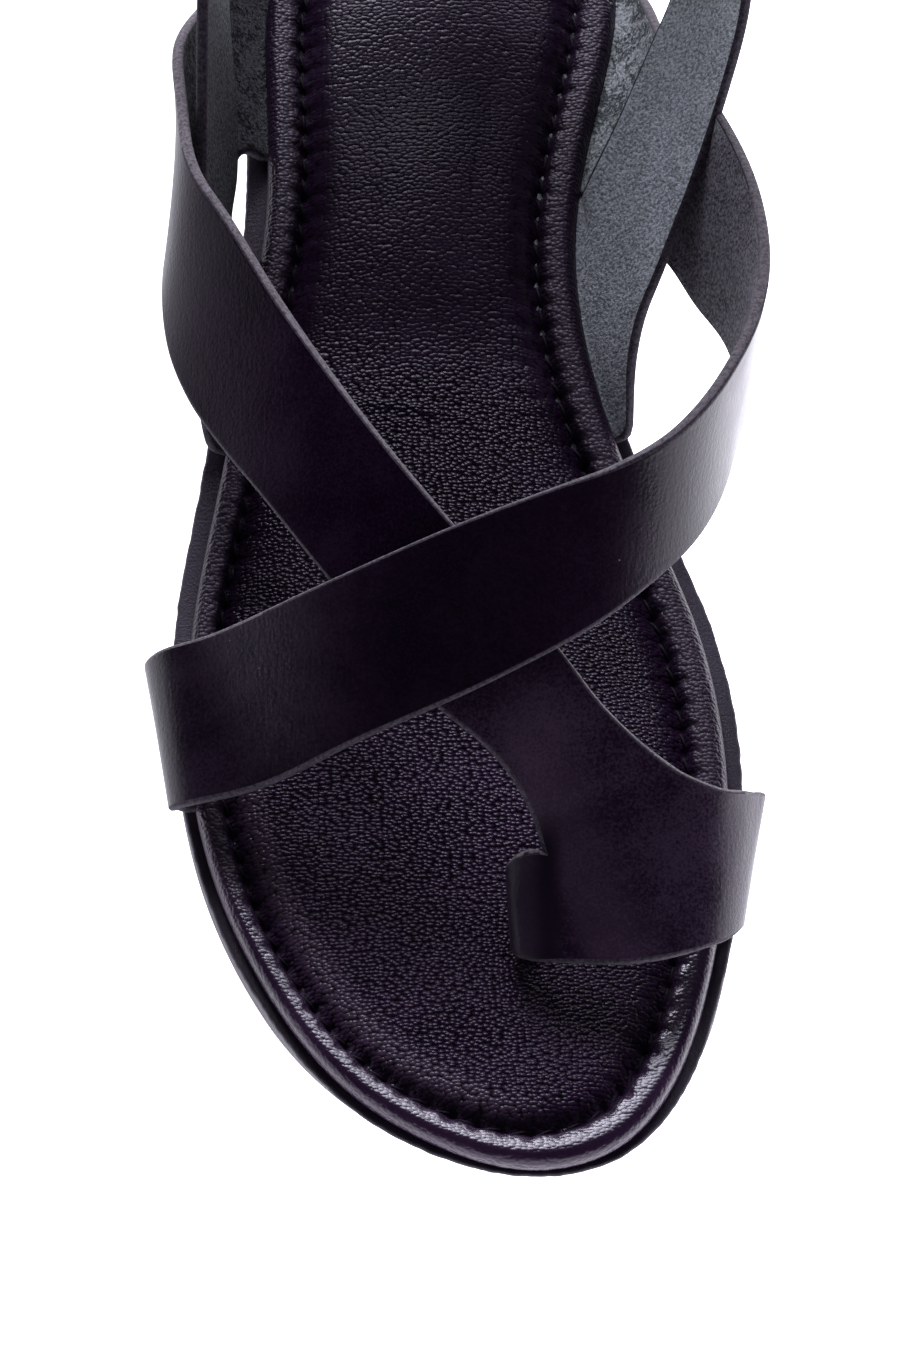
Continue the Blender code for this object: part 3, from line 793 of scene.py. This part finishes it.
def one_stitch():
    bpy.ops.object.select_all(action="DESELECT")
    bpy.ops.mesh.primitive_cylinder_add(vertices=8, radius=THREAD * MM, depth=(pitch - 0.5) * MM,
                                        end_fill_type="TRIFAN")
    rod = bpy.context.object
    bpy.ops.object.mode_set(mode="EDIT")
    bpy.ops.mesh.select_all(action="SELECT")
    bpy.ops.transform.rotate(value=math.pi / 2.0, orient_axis="Y", center_override=(0.0, 0.0, 0.0))
    for cut in BEND_CUTS:
        bpy.ops.mesh.select_all(action="SELECT")
        bpy.ops.mesh.bisect(plane_co=(cut * MM, 0.0, 0.0), plane_no=(1.0, 0.0, 0.0))
    bpy.ops.object.mode_set(mode="OBJECT")
    for v in rod.data.vertices:
        reach = abs(v.co.x) / (pitch / 2.0 * MM)
        v.co.y *= 1.0 - 0.45 * reach ** 3
        v.co.z *= 1.0 - 0.45 * reach ** 3
        v.co.z -= STITCH_SINK * MM * reach ** 3
    bpy.ops.object.shade_smooth()
    return rod


stitch = one_stitch()
groove_dir = np.roll(groove, -1, 0) - np.roll(groove, 1, 0)
groove_dir /= np.linalg.norm(groove_dir, axis=1, keepdims=True)
lean = chance.uniform(-0.16, 0.16, stitch_count)
copies = []
for k in range(stitch_count):
    at = (k + 0.5) * pitch
    i = int(np.argmin(np.abs(groove_along[:-1] - at)))
    x, y = groove[i]
    spot = to_metres([x, y, sole_top(y) + BASE_GAP + STITCH_HEIGHT])
    turn = math.atan2(groove_dir[i, 1], groove_dir[i, 0]) + 0.22 + lean[k]
    twin = stitch.copy()
    twin.data = stitch.data.copy()
    bpy.context.collection.objects.link(twin)
    slope = (sole_top(y + groove_dir[i, 1]) - sole_top(y - groove_dir[i, 1])) / 2.0
    twin.matrix_world = (Matrix.Translation(Vector(spot)) @ Matrix.Rotation(turn, 4, "Z")
                         @ Matrix.Rotation(-math.atan(slope), 4, "Y"))
    copies.append(twin)
bpy.data.objects.remove(stitch)
bpy.ops.object.select_all(action="DESELECT")
for twin in copies:
    twin.select_set(True)
bpy.context.view_layer.objects.active = copies[0]
bpy.ops.object.join()
bpy.ops.object.transform_apply(location=True, rotation=True, scale=True)
stitches = bpy.context.object
stitches.name = "footbed_stitches"
thread, shader = new_finish("waxed thread", (0.007, 0.005, 0.009), 0.6)
shader.inputs["Specular IOR Level"].default_value = 0.15
where = place_on(thread)
join(thread, relief(thread, noise(thread, where, 0.3, 2.0), 0.06), shader.inputs["Normal"])
dress(stitches, thread)
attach(stitches, "root")
print("stitches:", len(stitches.data.polygons), "faces")

# %% [markdown]
# Strap leathers
#
# Each strap is one layer of leather with three faces: a smooth dyed grain side with a satin finish, a grey
# suede flesh side, and a cut edge. One finish could serve all straps, but tones differ from place to
# place, and most of that is painted light and shade: a painted sheen on the grain's outer side and toe
# band, flesh painted pale where light falls and dark in shade, and cut edges painted in shade where they
# face the toe. So each kind of finish is a function, and its tones pass from one pair to another along a
# direction. Over the post the toe strap has a painted highlight on its bend and a painted shadow beside
# it, and the flesh is torn in places.

# %% Strap leathers: grain side
ACROSS, ALONG = (1.0, 0.0, 0.0), (0.0, 1.0, 0.0)
FOLD_WAY = (1.0, 0.4, 0.0)


def grain_finish(name, way, low, high, tones, mirror, fold=0.0):
    """Smooth dyed side of a strap: satin, with pores, cloudy dye and a fine streak along the foot.

    Its tones pass from one pair to another along a way; on some straps the paler pair is a painted sheen.
    A fold stands at an X of the toe post: the post is paler, a painted highlight lies on the bend and a
    painted shadow beside it.
    """
    grain, shader = new_finish(name, (0.012, 0.006, 0.015), 0.32)
    where = place_on(grain)
    broad = noise(grain, where, 20.0, 4.0, 0.6)
    fine = noise(grain, where, 0.5, 3.0, 0.7)
    streak = noise(grain, place_on(grain, (1.0, 0.14, 0.3)), 0.55, 2.0, 0.5)
    pore = put(grain, "ShaderNodeTexVoronoi", {"Scale": 1300.0}, feature="F1")
    join(grain, where, pore.inputs["Vector"])
    cloud = remap(grain, calculate(grain, "ADD", broad, times(grain, fine, 1.4)), 0.98, 1.42, 0.0, 1.0)
    pair = [blend(grain, cloud, *pair_of_tones) for pair_of_tones in tones]
    # The leather's cloudy dye; where the second pair is paler, it is a painted sheen.
    dyed = blend(grain, share_along(grain, where, way, low, high), *pair)
    if fold:
        x, y, _ = parts(grain, where)
        at_post = remap(grain, y, -71.0 * MM, -78.0 * MM, 0.0, 1.0)
        post = times(grain, at_post, remap(grain, x, (fold - 2.4) * MM, (fold - 5.6) * MM, 0.0, 0.8))
        # Painted highlight on the bend over the post, and painted shadow in the valley beside it.
        bend_highlight = times(grain, remap(grain, y, -50.0 * MM, -70.0 * MM, 0.0, 0.42),
                     share_along(grain, where, FOLD_WAY, fold - 38.0, fold - 33.6),
                     share_along(grain, where, FOLD_WAY, fold - 20.0, fold - 31.5))
        bend_shadow = times(grain, at_post, band(grain, x, fold - 3.6, 0.2, 3.4))
        dyed = blend(grain, post, dyed, (0.0300, 0.0205, 0.0370))
        dyed = blend(grain, bend_highlight, dyed, (0.0720, 0.0430, 0.0740))
        dyed = blend(grain, bend_shadow, dyed, (0.0125, 0.0075, 0.0165))
    join(grain, blend(grain, dust(grain), dyed, DUST), shader.inputs["Base Color"])
    join(grain, remap(grain, broad, 0.3, 0.7, 0.27, 0.35), shader.inputs["Roughness"])
    shader.inputs["Specular IOR Level"].default_value = mirror
    first = relief(grain, pore.outputs["Distance"], 0.030)
    second = relief(grain, streak, 0.038, first)
    join(grain, relief(grain, fine, 0.040, second), shader.inputs["Normal"])
    return grain


DARK_GRAIN = ((0.0050, 0.0016, 0.0070), (0.0150, 0.0066, 0.0185))
# Painted sheen: a paler pair over the toe band.
TOE_SHEEN_GRAIN = ((0.0120, 0.0058, 0.0155), (0.0500, 0.0310, 0.0570))
# Painted sheen: a paler pair for the outer side of the front and heel straps.
LEFT_SHEEN_GRAIN = ((0.0060, 0.0028, 0.0082), (0.0220, 0.0130, 0.0260))
front_grain = grain_finish(
    "front strap grain", ACROSS, -8.0, -36.0, (DARK_GRAIN, LEFT_SHEEN_GRAIN), mirror=0.19)
back_grain = grain_finish(
    "diagonal strap grain", ACROSS, 0.0, 1.0, (DARK_GRAIN, DARK_GRAIN), mirror=0.04)
toe_grain = grain_finish(
    "toe strap grain", ALONG, -46.0, -62.0, (DARK_GRAIN, TOE_SHEEN_GRAIN), mirror=0.12, fold=16.6)
print("grain finishes ready")


# %% Strap leathers: flesh side and cut edges
def flesh_finish(name, way, low, high, tones, torn):
    """Suede side of a strap; its tones and its torn fissures pass from one pair to another along a way."""
    suede, shader = new_finish(name, (0.28, 0.30, 0.31), 0.95)
    where = place_on(suede)
    blot = noise(suede, where, 7.0, 3.0, 0.6)
    nap = noise(suede, where, 0.55, 3.0, 0.6)
    broken = remap(suede, noise(suede, where, 5.0, 3.0, 0.6), 0.42, 0.56, 0.0, 1.0)
    ragged_noise = noise(suede, place_on(suede, (1.0, 0.75, 0.9)), 2.2, 4.0, 0.62)
    split_line = calculate(suede, "ABSOLUTE", calculate(suede, "SUBTRACT", ragged_noise, 0.5), 0.0)
    share = share_along(suede, where, way, low, high)
    crack = times(suede, broken, remap(suede, split_line, 0.015, 0.075, 1.0, 0.0),
                  remap(suede, share, 0.0, 1.0, *torn))
    tone = calculate(suede, "ADD", nap, times(suede, blot, 0.2))
    tone = remap(suede, calculate(suede, "SUBTRACT", tone, crack), 0.35, 0.85, 0.0, 1.0)
    pair = [blend(suede, tone, *pair_of_tones) for pair_of_tones in tones]
    join(suede, blend(suede, share, *pair), shader.inputs["Base Color"])
    shader.inputs["Sheen Weight"].default_value = 0.08
    shader.inputs["Specular IOR Level"].default_value = 0.2
    first = relief(suede, times(suede, crack, -1.0), 1.2)
    join(suede, relief(suede, nap, 0.50, first), shader.inputs["Normal"])
    return suede


# Painted light and shade on the flesh: the heel strap's flesh is painted pale at its inner side and dark
# at its outer side; the front strap's flesh is painted dark violet on its bow behind the heel strap and
# pale on its torn end; the toe strap's flesh is painted dark at its outer side.
SHADED_FLESH = ((0.008, 0.009, 0.010), (0.120, 0.126, 0.134))
LIT_FLESH = ((0.165, 0.190, 0.198), (0.840, 0.900, 0.920))
LIT_TORN_FLESH = ((0.105, 0.124, 0.120), (0.720, 0.785, 0.765))
VIOLET_FLESH = ((0.034, 0.031, 0.039), (0.340, 0.328, 0.365))
front_flesh = flesh_finish(
    "front strap flesh", ALONG, 46.0, 56.0, (VIOLET_FLESH, LIT_TORN_FLESH), torn=(0.05, 0.24))
heel_flesh = flesh_finish(
    "heel strap flesh", (1.0, 0.9, 0.0), 15.0, 70.0, (SHADED_FLESH, LIT_FLESH), torn=(0.0, 0.0))
toe_flesh = flesh_finish(
    "toe strap flesh", ACROSS, -12.0, 12.0, (SHADED_FLESH, VIOLET_FLESH), torn=(0.22, 0.06))


def edge_finish(name, dark, light):
    """Fibres of a cut edge."""
    edge_paint, shader = new_finish(name, light, 0.75)
    fibre = noise(edge_paint, place_on(edge_paint), 0.6, 4.0, 0.7)
    join(edge_paint, blend(edge_paint, remap(edge_paint, fibre, 0.3, 0.7, 0.0, 1.0), dark, light),
         shader.inputs["Base Color"])
    shader.inputs["Specular IOR Level"].default_value = 0.2
    join(edge_paint, relief(edge_paint, fibre, 0.12), shader.inputs["Normal"])
    return edge_paint


raw_edge = edge_finish("raw cut edge", (0.085, 0.075, 0.082), (0.290, 0.268, 0.278))
# A dimmer copy of the raw edge for the front strap: painted shade, so that its lit rear edge is less pale.
dimmer_edge = edge_finish("worn cut edge", (0.070, 0.061, 0.068), (0.215, 0.197, 0.206))
# The dark edge finish is painted shade, on cut edges that face the toe and on all edges of the heel strap.
shaded_edge = edge_finish("dyed cut edge", (0.020, 0.014, 0.024), (0.085, 0.072, 0.092))
print("flesh and edge finishes ready")

# %% [markdown]
# How a strap is laid
#
# A strap is a flat strip bent through the air. Its shape is a short table: each row has the two edges
# of the strip at one station. Rows that touch the instep take their height from a foot form, a soft
# ridge. The rows are filled in smoothly, a grid is laid on them, and Solidify gives the leather's 2 mm.

# %% How a strap is laid: rows
STRAP_THICKNESS = 2.0
STRAP_COLUMNS = 22
STRAP_STEP = 1.1
ON_FORM = None
RIDGE = np.array(((-110.0, 20.0), (-95.0, 24.0), (-75.0, 31.0), (-45.0, 45.0), (-20.0, 54.0),
                  (10.0, 61.0), (40.0, 66.0)))
TAIL_RUN = ((9.0, 0.0), (4.0, 0.0), (0.6, 0.0), (-1.3, 0.35), (-2.4, 1.5))


def foot_form(x, y):
    return np.interp(y, RIDGE[:, 0], RIDGE[:, 1]) - 0.0135 * (x - 6.0) ** 2


def edge_place(side, y, distance):
    """Place on the footbed's edge at a given y, moved inwards by a distance."""
    picked = np.where(np.sign(bed_edge[:, 0]) == side)[0]
    order = picked[np.argsort(bed_edge[picked, 1])]
    x, nx, ny = (np.interp(y, bed_edge[order, 1], v[order])
                 for v in (bed_edge[:, 0], bed_out[:, 0], bed_out[:, 1]))
    return x - nx * distance, y - ny * distance


def tail_rows(leave, run):
    """Rows of a strap end that lies under the footbed and comes out over the rim."""
    side, y_first, y_second = leave
    rows = []
    for distance, height in run:
        row = []
        for t in np.linspace(0.0, 1.0, STRAP_COLUMNS + 1):
            x, y = edge_place(side, y_first + t * (y_second - y_first), distance)
            row.append((x, y, sole_top(y) + BASE_GAP + STRAP_THICKNESS / 2.0 + height))
        rows.append(row)
    return np.array(rows)


def section_rows(table, columns, lift=0.0):
    rows = []
    for x1, y1, z1, x2, y2, z2 in table:
        t = np.linspace(0.0, 1.0, columns + 1)
        x, y = x1 + t * (x2 - x1), y1 + t * (y2 - y1)
        z = foot_form(x, y) + lift if z1 is ON_FORM else z1 + t * (z2 - z1)
        rows.append(np.column_stack([x, y, z]))
    return np.array(rows)


def smooth_rows(rows, step):
    """Rows filled in smoothly between the given ones, and the new index of each given row."""
    span = np.linalg.norm(np.diff(rows.mean(axis=1), axis=0), axis=1)
    slope = np.diff(rows, axis=0) / span[:, None, None]
    tangent = np.concatenate([slope[:1], np.zeros_like(slope[1:]), slope[-1:]])
    for i in range(1, len(rows) - 1):
        tangent[i] = (span[i] * slope[i - 1] + span[i - 1] * slope[i]) / (span[i - 1] + span[i])
    filled, places = [], []
    for i in range(len(rows) - 1):
        places.append(len(filled))
        for t in np.linspace(0.0, 1.0, max(1, int(np.ceil(span[i] / step))), endpoint=False):
            filled.append(bridge(t, rows[i], span[i] * tangent[i], rows[i + 1], span[i] * tangent[i + 1]))
    places.append(len(filled))
    filled.append(rows[-1])
    return np.array(filled), places


def ease(rows, passes, keep):
    """Evens out small bumps along the strap; the rows kept at both ends stay."""
    weight = np.clip(np.minimum(np.arange(len(rows)), np.arange(len(rows))[::-1]) - keep, 0, 8) / 8.0
    for _ in range(passes):
        middle = rows.copy()
        middle[1:-1] = (rows[:-2] + 2.0 * rows[1:-1] + rows[2:]) / 4.0
        rows = rows + (middle - rows) * weight[:, None, None]
    return rows


def strap_rows(leave, table, arrive, lift=0.0):
    """All rows of a strap from one exit to the other, and the new index of each given row."""
    return smooth_rows(np.concatenate([
        tail_rows(STRAP_EXITS[leave], TAIL_RUN),
        section_rows(table, STRAP_COLUMNS, lift),
        tail_rows(STRAP_EXITS[arrive], TAIL_RUN[::-1]),
    ]), STRAP_STEP)


print("straps of", STRAP_COLUMNS, "columns, one row each", STRAP_STEP, "mm")


# %% From rows to leather
GRAIN_SIDE, FLESH_SIDE, CUT_EDGE, FRONT_EDGE, UNDER_CROSS = range(5)
EDGE_ROUND = 0.65


def lay_grid(name, rows):
    bpy.ops.object.select_all(action="DESELECT")
    bpy.ops.mesh.primitive_grid_add(x_subdivisions=rows.shape[1] - 1, y_subdivisions=rows.shape[0] - 1)
    sheet = bpy.context.object
    sheet.name = name
    sheet.data.name = name
    sheet.data.vertices.foreach_set("co", to_metres(rows).ravel())
    sheet.data.update()
    return sheet


def finish_strap(strap, finishes, flip):
    """Turns the grain side out, gives the leather its thickness, rounds the cut edges."""
    bpy.ops.object.select_all(action="DESELECT")
    strap.select_set(True)
    bpy.context.view_layer.objects.active = strap
    dress(strap, *finishes)
    if flip:
        bpy.ops.object.mode_set(mode="EDIT")
        bpy.ops.mesh.select_all(action="SELECT")
        bpy.ops.mesh.flip_normals()
        bpy.ops.object.mode_set(mode="OBJECT")
    bpy.ops.object.modifier_add(type="SOLIDIFY")
    solid = strap.modifiers[-1]
    solid.thickness = STRAP_THICKNESS * MM
    solid.offset = 0.0
    solid.use_even_offset = True
    solid.use_quality_normals = True
    solid.material_offset = FLESH_SIDE
    solid.material_offset_rim = CUT_EDGE
    bpy.ops.object.modifier_apply(modifier=solid.name)
    bpy.ops.object.mode_set(mode="EDIT")
    bpy.ops.mesh.select_mode(type="EDGE")
    bpy.ops.mesh.select_all(action="DESELECT")
    shape = bmesh.from_edit_mesh(strap.data)
    for line in shape.edges:
        sides = {face.material_index for face in line.link_faces}
        line.select_set(CUT_EDGE in sides and len(sides) == 2)
    bmesh.update_edit_mesh(strap.data)
    bpy.ops.mesh.bevel(offset=EDGE_ROUND * MM, segments=3, profile=0.5, affect="EDGES", material=CUT_EDGE)
    bpy.ops.object.mode_set(mode="OBJECT")
    # Cut edges that face the toe take the dark edge finish: painted shade.
    for face in strap.data.polygons:
        if face.material_index == CUT_EDGE and face.normal.y < 0.0:
            face.material_index = FRONT_EDGE
    bpy.ops.object.shade_smooth_by_angle(angle=math.radians(45.0))
    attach(strap, "root")
    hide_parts("upper")
    print(strap.name + ":", len(strap.data.polygons), "faces")


print("leather", STRAP_THICKNESS, "mm thick, edges rounded by", EDGE_ROUND, "mm")

# %% [markdown]
# Front strap
#
# It leaves the sole at the outer ball, lies over the instep on top of the toe strap, stands out in a wide
# bow at the inner side and ends at the inner heel.

# %% Front strap
# How much higher than the toe strap it lies where they cross
CROSS_LIFT = 2.05
# The two edges at each station: X, Y and height of one, then of the other
FRONT_STRAP = (
    (-46.8, -60.0, 9.0, -50.6, -33.7, 9.0),
    (-45.7, -61.6, 13.6, -49.8, -34.3, 15.4),
    (-35.2, -62.1, 19.6, -41.6, -34.9, 22.2),
    (-16.2, -59.5, ON_FORM, -21.1, -34.5, ON_FORM),
    (5.8, -53.4, ON_FORM, -1.0, -30.3, ON_FORM),
    (22.6, -43.5, 43.5, 15.8, -24.2, 53.6),
    (32.4, -32.9, 39.2, 25.6, -20.6, 54.2),
    (37.9, -25.3, 35.4, 32.6, -16.4, 54.2),
    (43.2, -14.0, 30.4, 39.0, -9.9, 53.5),
    (46.7, -1.2, 26.6, 44.8, -0.6, 51.8),
    (49.2, 10.6, 23.2, 49.6, 10.8, 49.2),
    (47.6, 21.6, 20.2, 52.0, 24.0, 46.4),
    (43.0, 29.8, 18.6, 51.0, 39.5, 43.2),
    (38.6, 38.9, 17.6, 46.2, 57.5, 38.0),
    (32.6, 47.4, 15.5, 39.0, 75.6, 29.6),
)
rows, _ = strap_rows("front outer", FRONT_STRAP, "front inner", CROSS_LIFT)
front_strap = lay_grid("front_strap", ease(rows, passes=12, keep=14))
middle_face = front_strap.data.polygons[len(front_strap.data.polygons) // 3]
finish_strap(front_strap, (front_grain, front_flesh, dimmer_edge, shaded_edge), middle_face.normal.z < 0.0)

# %% [markdown]
# Toe strap
#
# One piece of leather makes the diagonal strap, the band over the big toe and the post that curls down
# between the toes. The strip is one grid; the post is a second grid that starts on the strip's edge.
# Both are joined, their shared edge is merged and smoothed, and then the leather gets its thickness.

# %% Toe strap: strip and post
TOE_STRAP = (
    (-38.2, 56.0, 15.4, -45.2, 79.0, 31.0),
    (-46.2, 44.5, 18.5, -45.0, 60.0, 37.5),
    (-48.0, 32.5, 21.3, -43.0, 44.5, 42.0),
    (-47.2, 19.5, 23.8, -36.8, 31.5, 45.0),
    (-44.0, 7.8, 27.0, -29.5, 16.5, 46.6),
    (-38.0, -4.7, ON_FORM, -20.7, 0.1, ON_FORM),
    (-31.0, -17.2, ON_FORM, -11.2, -15.7, ON_FORM),
    (-20.7, -33.9, ON_FORM, -1.0, -29.4, ON_FORM),
    (-11.6, -46.4, ON_FORM, 7.6, -39.6, ON_FORM),
    (-3.7, -56.6, ON_FORM, 15.6, -48.1, ON_FORM),
    (4.1, -63.0, 36.2, 22.4, -55.6, 37.4),
    (9.3, -68.4, 31.0, 28.4, -60.3, 33.8),
    (12.7, -75.1, 24.5, 33.6, -63.5, 31.2),
    (14.1, -84.2, 22.2, 35.9, -64.5, 30.0),
    (16.3, -93.3, 20.2, 37.7, -64.9, 29.0),
    (22.9, -94.2, 21.6, 40.2, -65.1, 27.0),
    (31.0, -93.5, 21.8, 42.8, -64.6, 24.4),
    (38.2, -90.6, 19.6, 45.4, -62.9, 20.6),
    (42.6, -86.8, 15.0, 47.9, -61.0, 15.6),
    (44.9, -82.4, 10.0, 49.4, -58.9, 10.0),
)
# Rows of the strip between which the post hangs, and the part of its width that flares up behind
POST_ROWS = (12, 14)
FLARE_SHARE, FLARE_RISE = 0.25, 2.4
TOE_POST = (
    (10.4, -75.4, 23.0, 11.8, -92.8, 19.0),
    (7.7, -76.2, 20.0, 8.4, -89.4, 16.0),
    (8.2, -77.4, 17.2, 9.2, -88.2, 14.4),
    (11.4, -78.6, 14.6, 11.6, -88.0, 13.4),
    (13.4, -79.0, 12.0, 13.4, -87.6, 11.6),
    (13.4, -79.0, 8.0, 13.4, -87.6, 7.6),
)
rows, places = strap_rows("toe outer", TOE_STRAP, "toe inner")
rows = ease(rows, passes=6, keep=14)
first, last = (places[len(TAIL_RUN) + row] for row in POST_ROWS)
ridge = rows[first:last + 1, 0]
post_rows = np.concatenate([ridge[None], section_rows(TOE_POST, len(ridge) - 1)])
flare = np.clip(1.0 - np.linspace(0.0, 1.0, len(ridge)) / FLARE_SHARE, 0.0, 1.0) ** 2
post_rows[1:4, :, 2] += FLARE_RISE * flare
post_rows, _ = smooth_rows(post_rows, STRAP_STEP)
toe_strap = lay_grid("toe_strap", rows)
post = lay_grid("toe_post", post_rows)
print("toe strap:", rows.shape[0], "rows, post:", post_rows.shape[0], "rows")

# %% Toe strap: fold and leather
FOLD_REACH, CORNER_REACH = 5.0, 8.0
toe_strap.select_set(True)
bpy.context.view_layer.objects.active = toe_strap
bpy.ops.object.join()
bpy.ops.object.mode_set(mode="EDIT")
bpy.ops.mesh.select_all(action="SELECT")
bpy.ops.mesh.remove_doubles(threshold=0.00001)
bpy.ops.mesh.normals_make_consistent(inside=False)
bpy.ops.object.mode_set(mode="OBJECT")
fold = to_metres(ridge)
spots = np.array([v.co[:] for v in toe_strap.data.vertices])
gap = np.min(np.linalg.norm(spots[:, None] - fold[None], axis=2), axis=1)
bpy.ops.object.mode_set(mode="EDIT")
bpy.ops.mesh.select_mode(type="VERT")
bpy.ops.mesh.select_all(action="DESELECT")
shape = bmesh.from_edit_mesh(toe_strap.data)
for v in shape.verts:
    v.select_set(bool(gap[v.index] < FOLD_REACH * MM) and not v.is_boundary)
bmesh.update_edit_mesh(toe_strap.data)
bpy.ops.mesh.vertices_smooth(factor=0.5, repeat=12)
bpy.ops.object.mode_set(mode="OBJECT")
shape = bmesh.new()
shape.from_mesh(toe_strap.data)
corner = Vector(fold[-1])
rim_points = [v for v in shape.verts if v.is_boundary and (v.co - corner).length < CORNER_REACH * MM]
for _ in range(25):
    means = []
    for v in rim_points:
        beside = [e.other_vert(v).co for e in v.link_edges if e.is_boundary]
        means.append(sum(beside, Vector()) / len(beside))
    for v, mean in zip(rim_points, means):
        v.co = (v.co + mean) / 2.0
shape.to_mesh(toe_strap.data)
shape.free()
crossing = Vector(to_metres((0.0, -45.0, 45.0)))
instep = min(toe_strap.data.polygons, key=lambda f: (f.center - crossing).length)
finish_strap(toe_strap, (toe_grain, toe_flesh, raw_edge, shaded_edge, back_grain), instep.normal.z < 0.0)
for face in toe_strap.data.polygons:
    if face.material_index == GRAIN_SIDE and face.center.y > crossing.y:
        face.material_index = UNDER_CROSS

# %% [markdown]
# Heel strap
#
# It rises from the waist on both sides, passes inside the other two straps and goes round the heel. It is
# laid in the same way as the front strap, only its table is another.

# %% Heel strap
HEEL_STRAP = (
    (31.2, 18.6, 15.0, 24.4, 53.2, 17.0),
    (36.8, 34.4, 25.0, 31.2, 65.2, 26.0),
    (42.0, 45.6, 32.0, 35.8, 74.0, 31.5),
    (47.0, 58.0, 40.0, 40.2, 82.5, 37.0),
    (51.4, 73.0, 50.0, 43.0, 93.0, 43.0),
    (50.2, 93.0, 61.5, 41.0, 104.0, 48.0),
    (39.0, 113.0, 70.5, 33.0, 116.0, 51.5),
    (20.0, 126.0, 75.5, 18.0, 126.0, 53.0),
    (1.0, 130.0, 77.0, 1.0, 129.5, 53.5),
    (-18.0, 126.0, 75.5, -16.5, 126.0, 53.0),
    (-34.0, 113.0, 70.5, -30.0, 116.0, 51.5),
    (-40.4, 93.0, 61.0, -36.2, 104.0, 47.5),
    (-41.4, 73.0, 50.0, -37.8, 91.0, 42.0),
    (-41.8, 58.0, 40.5, -37.6, 79.0, 35.0),
    (-42.2, 45.0, 32.0, -36.7, 68.0, 28.5),
    (-42.0, 31.0, 23.0, -36.5, 57.0, 21.0),
    (-42.4, 15.0, 14.0, -37.4, 48.5, 15.5),
)
rows, _ = strap_rows("heel inner", HEEL_STRAP, "heel outer")
heel_strap = lay_grid("heel_strap", ease(rows, passes=12, keep=14))
behind = max(heel_strap.data.polygons, key=lambda f: f.center.y)
# All cut edges of the heel strap take the dark edge finish: painted shade.
finish_strap(heel_strap, (front_grain, heel_flesh, shaded_edge, shaded_edge), behind.normal.y < 0.0)
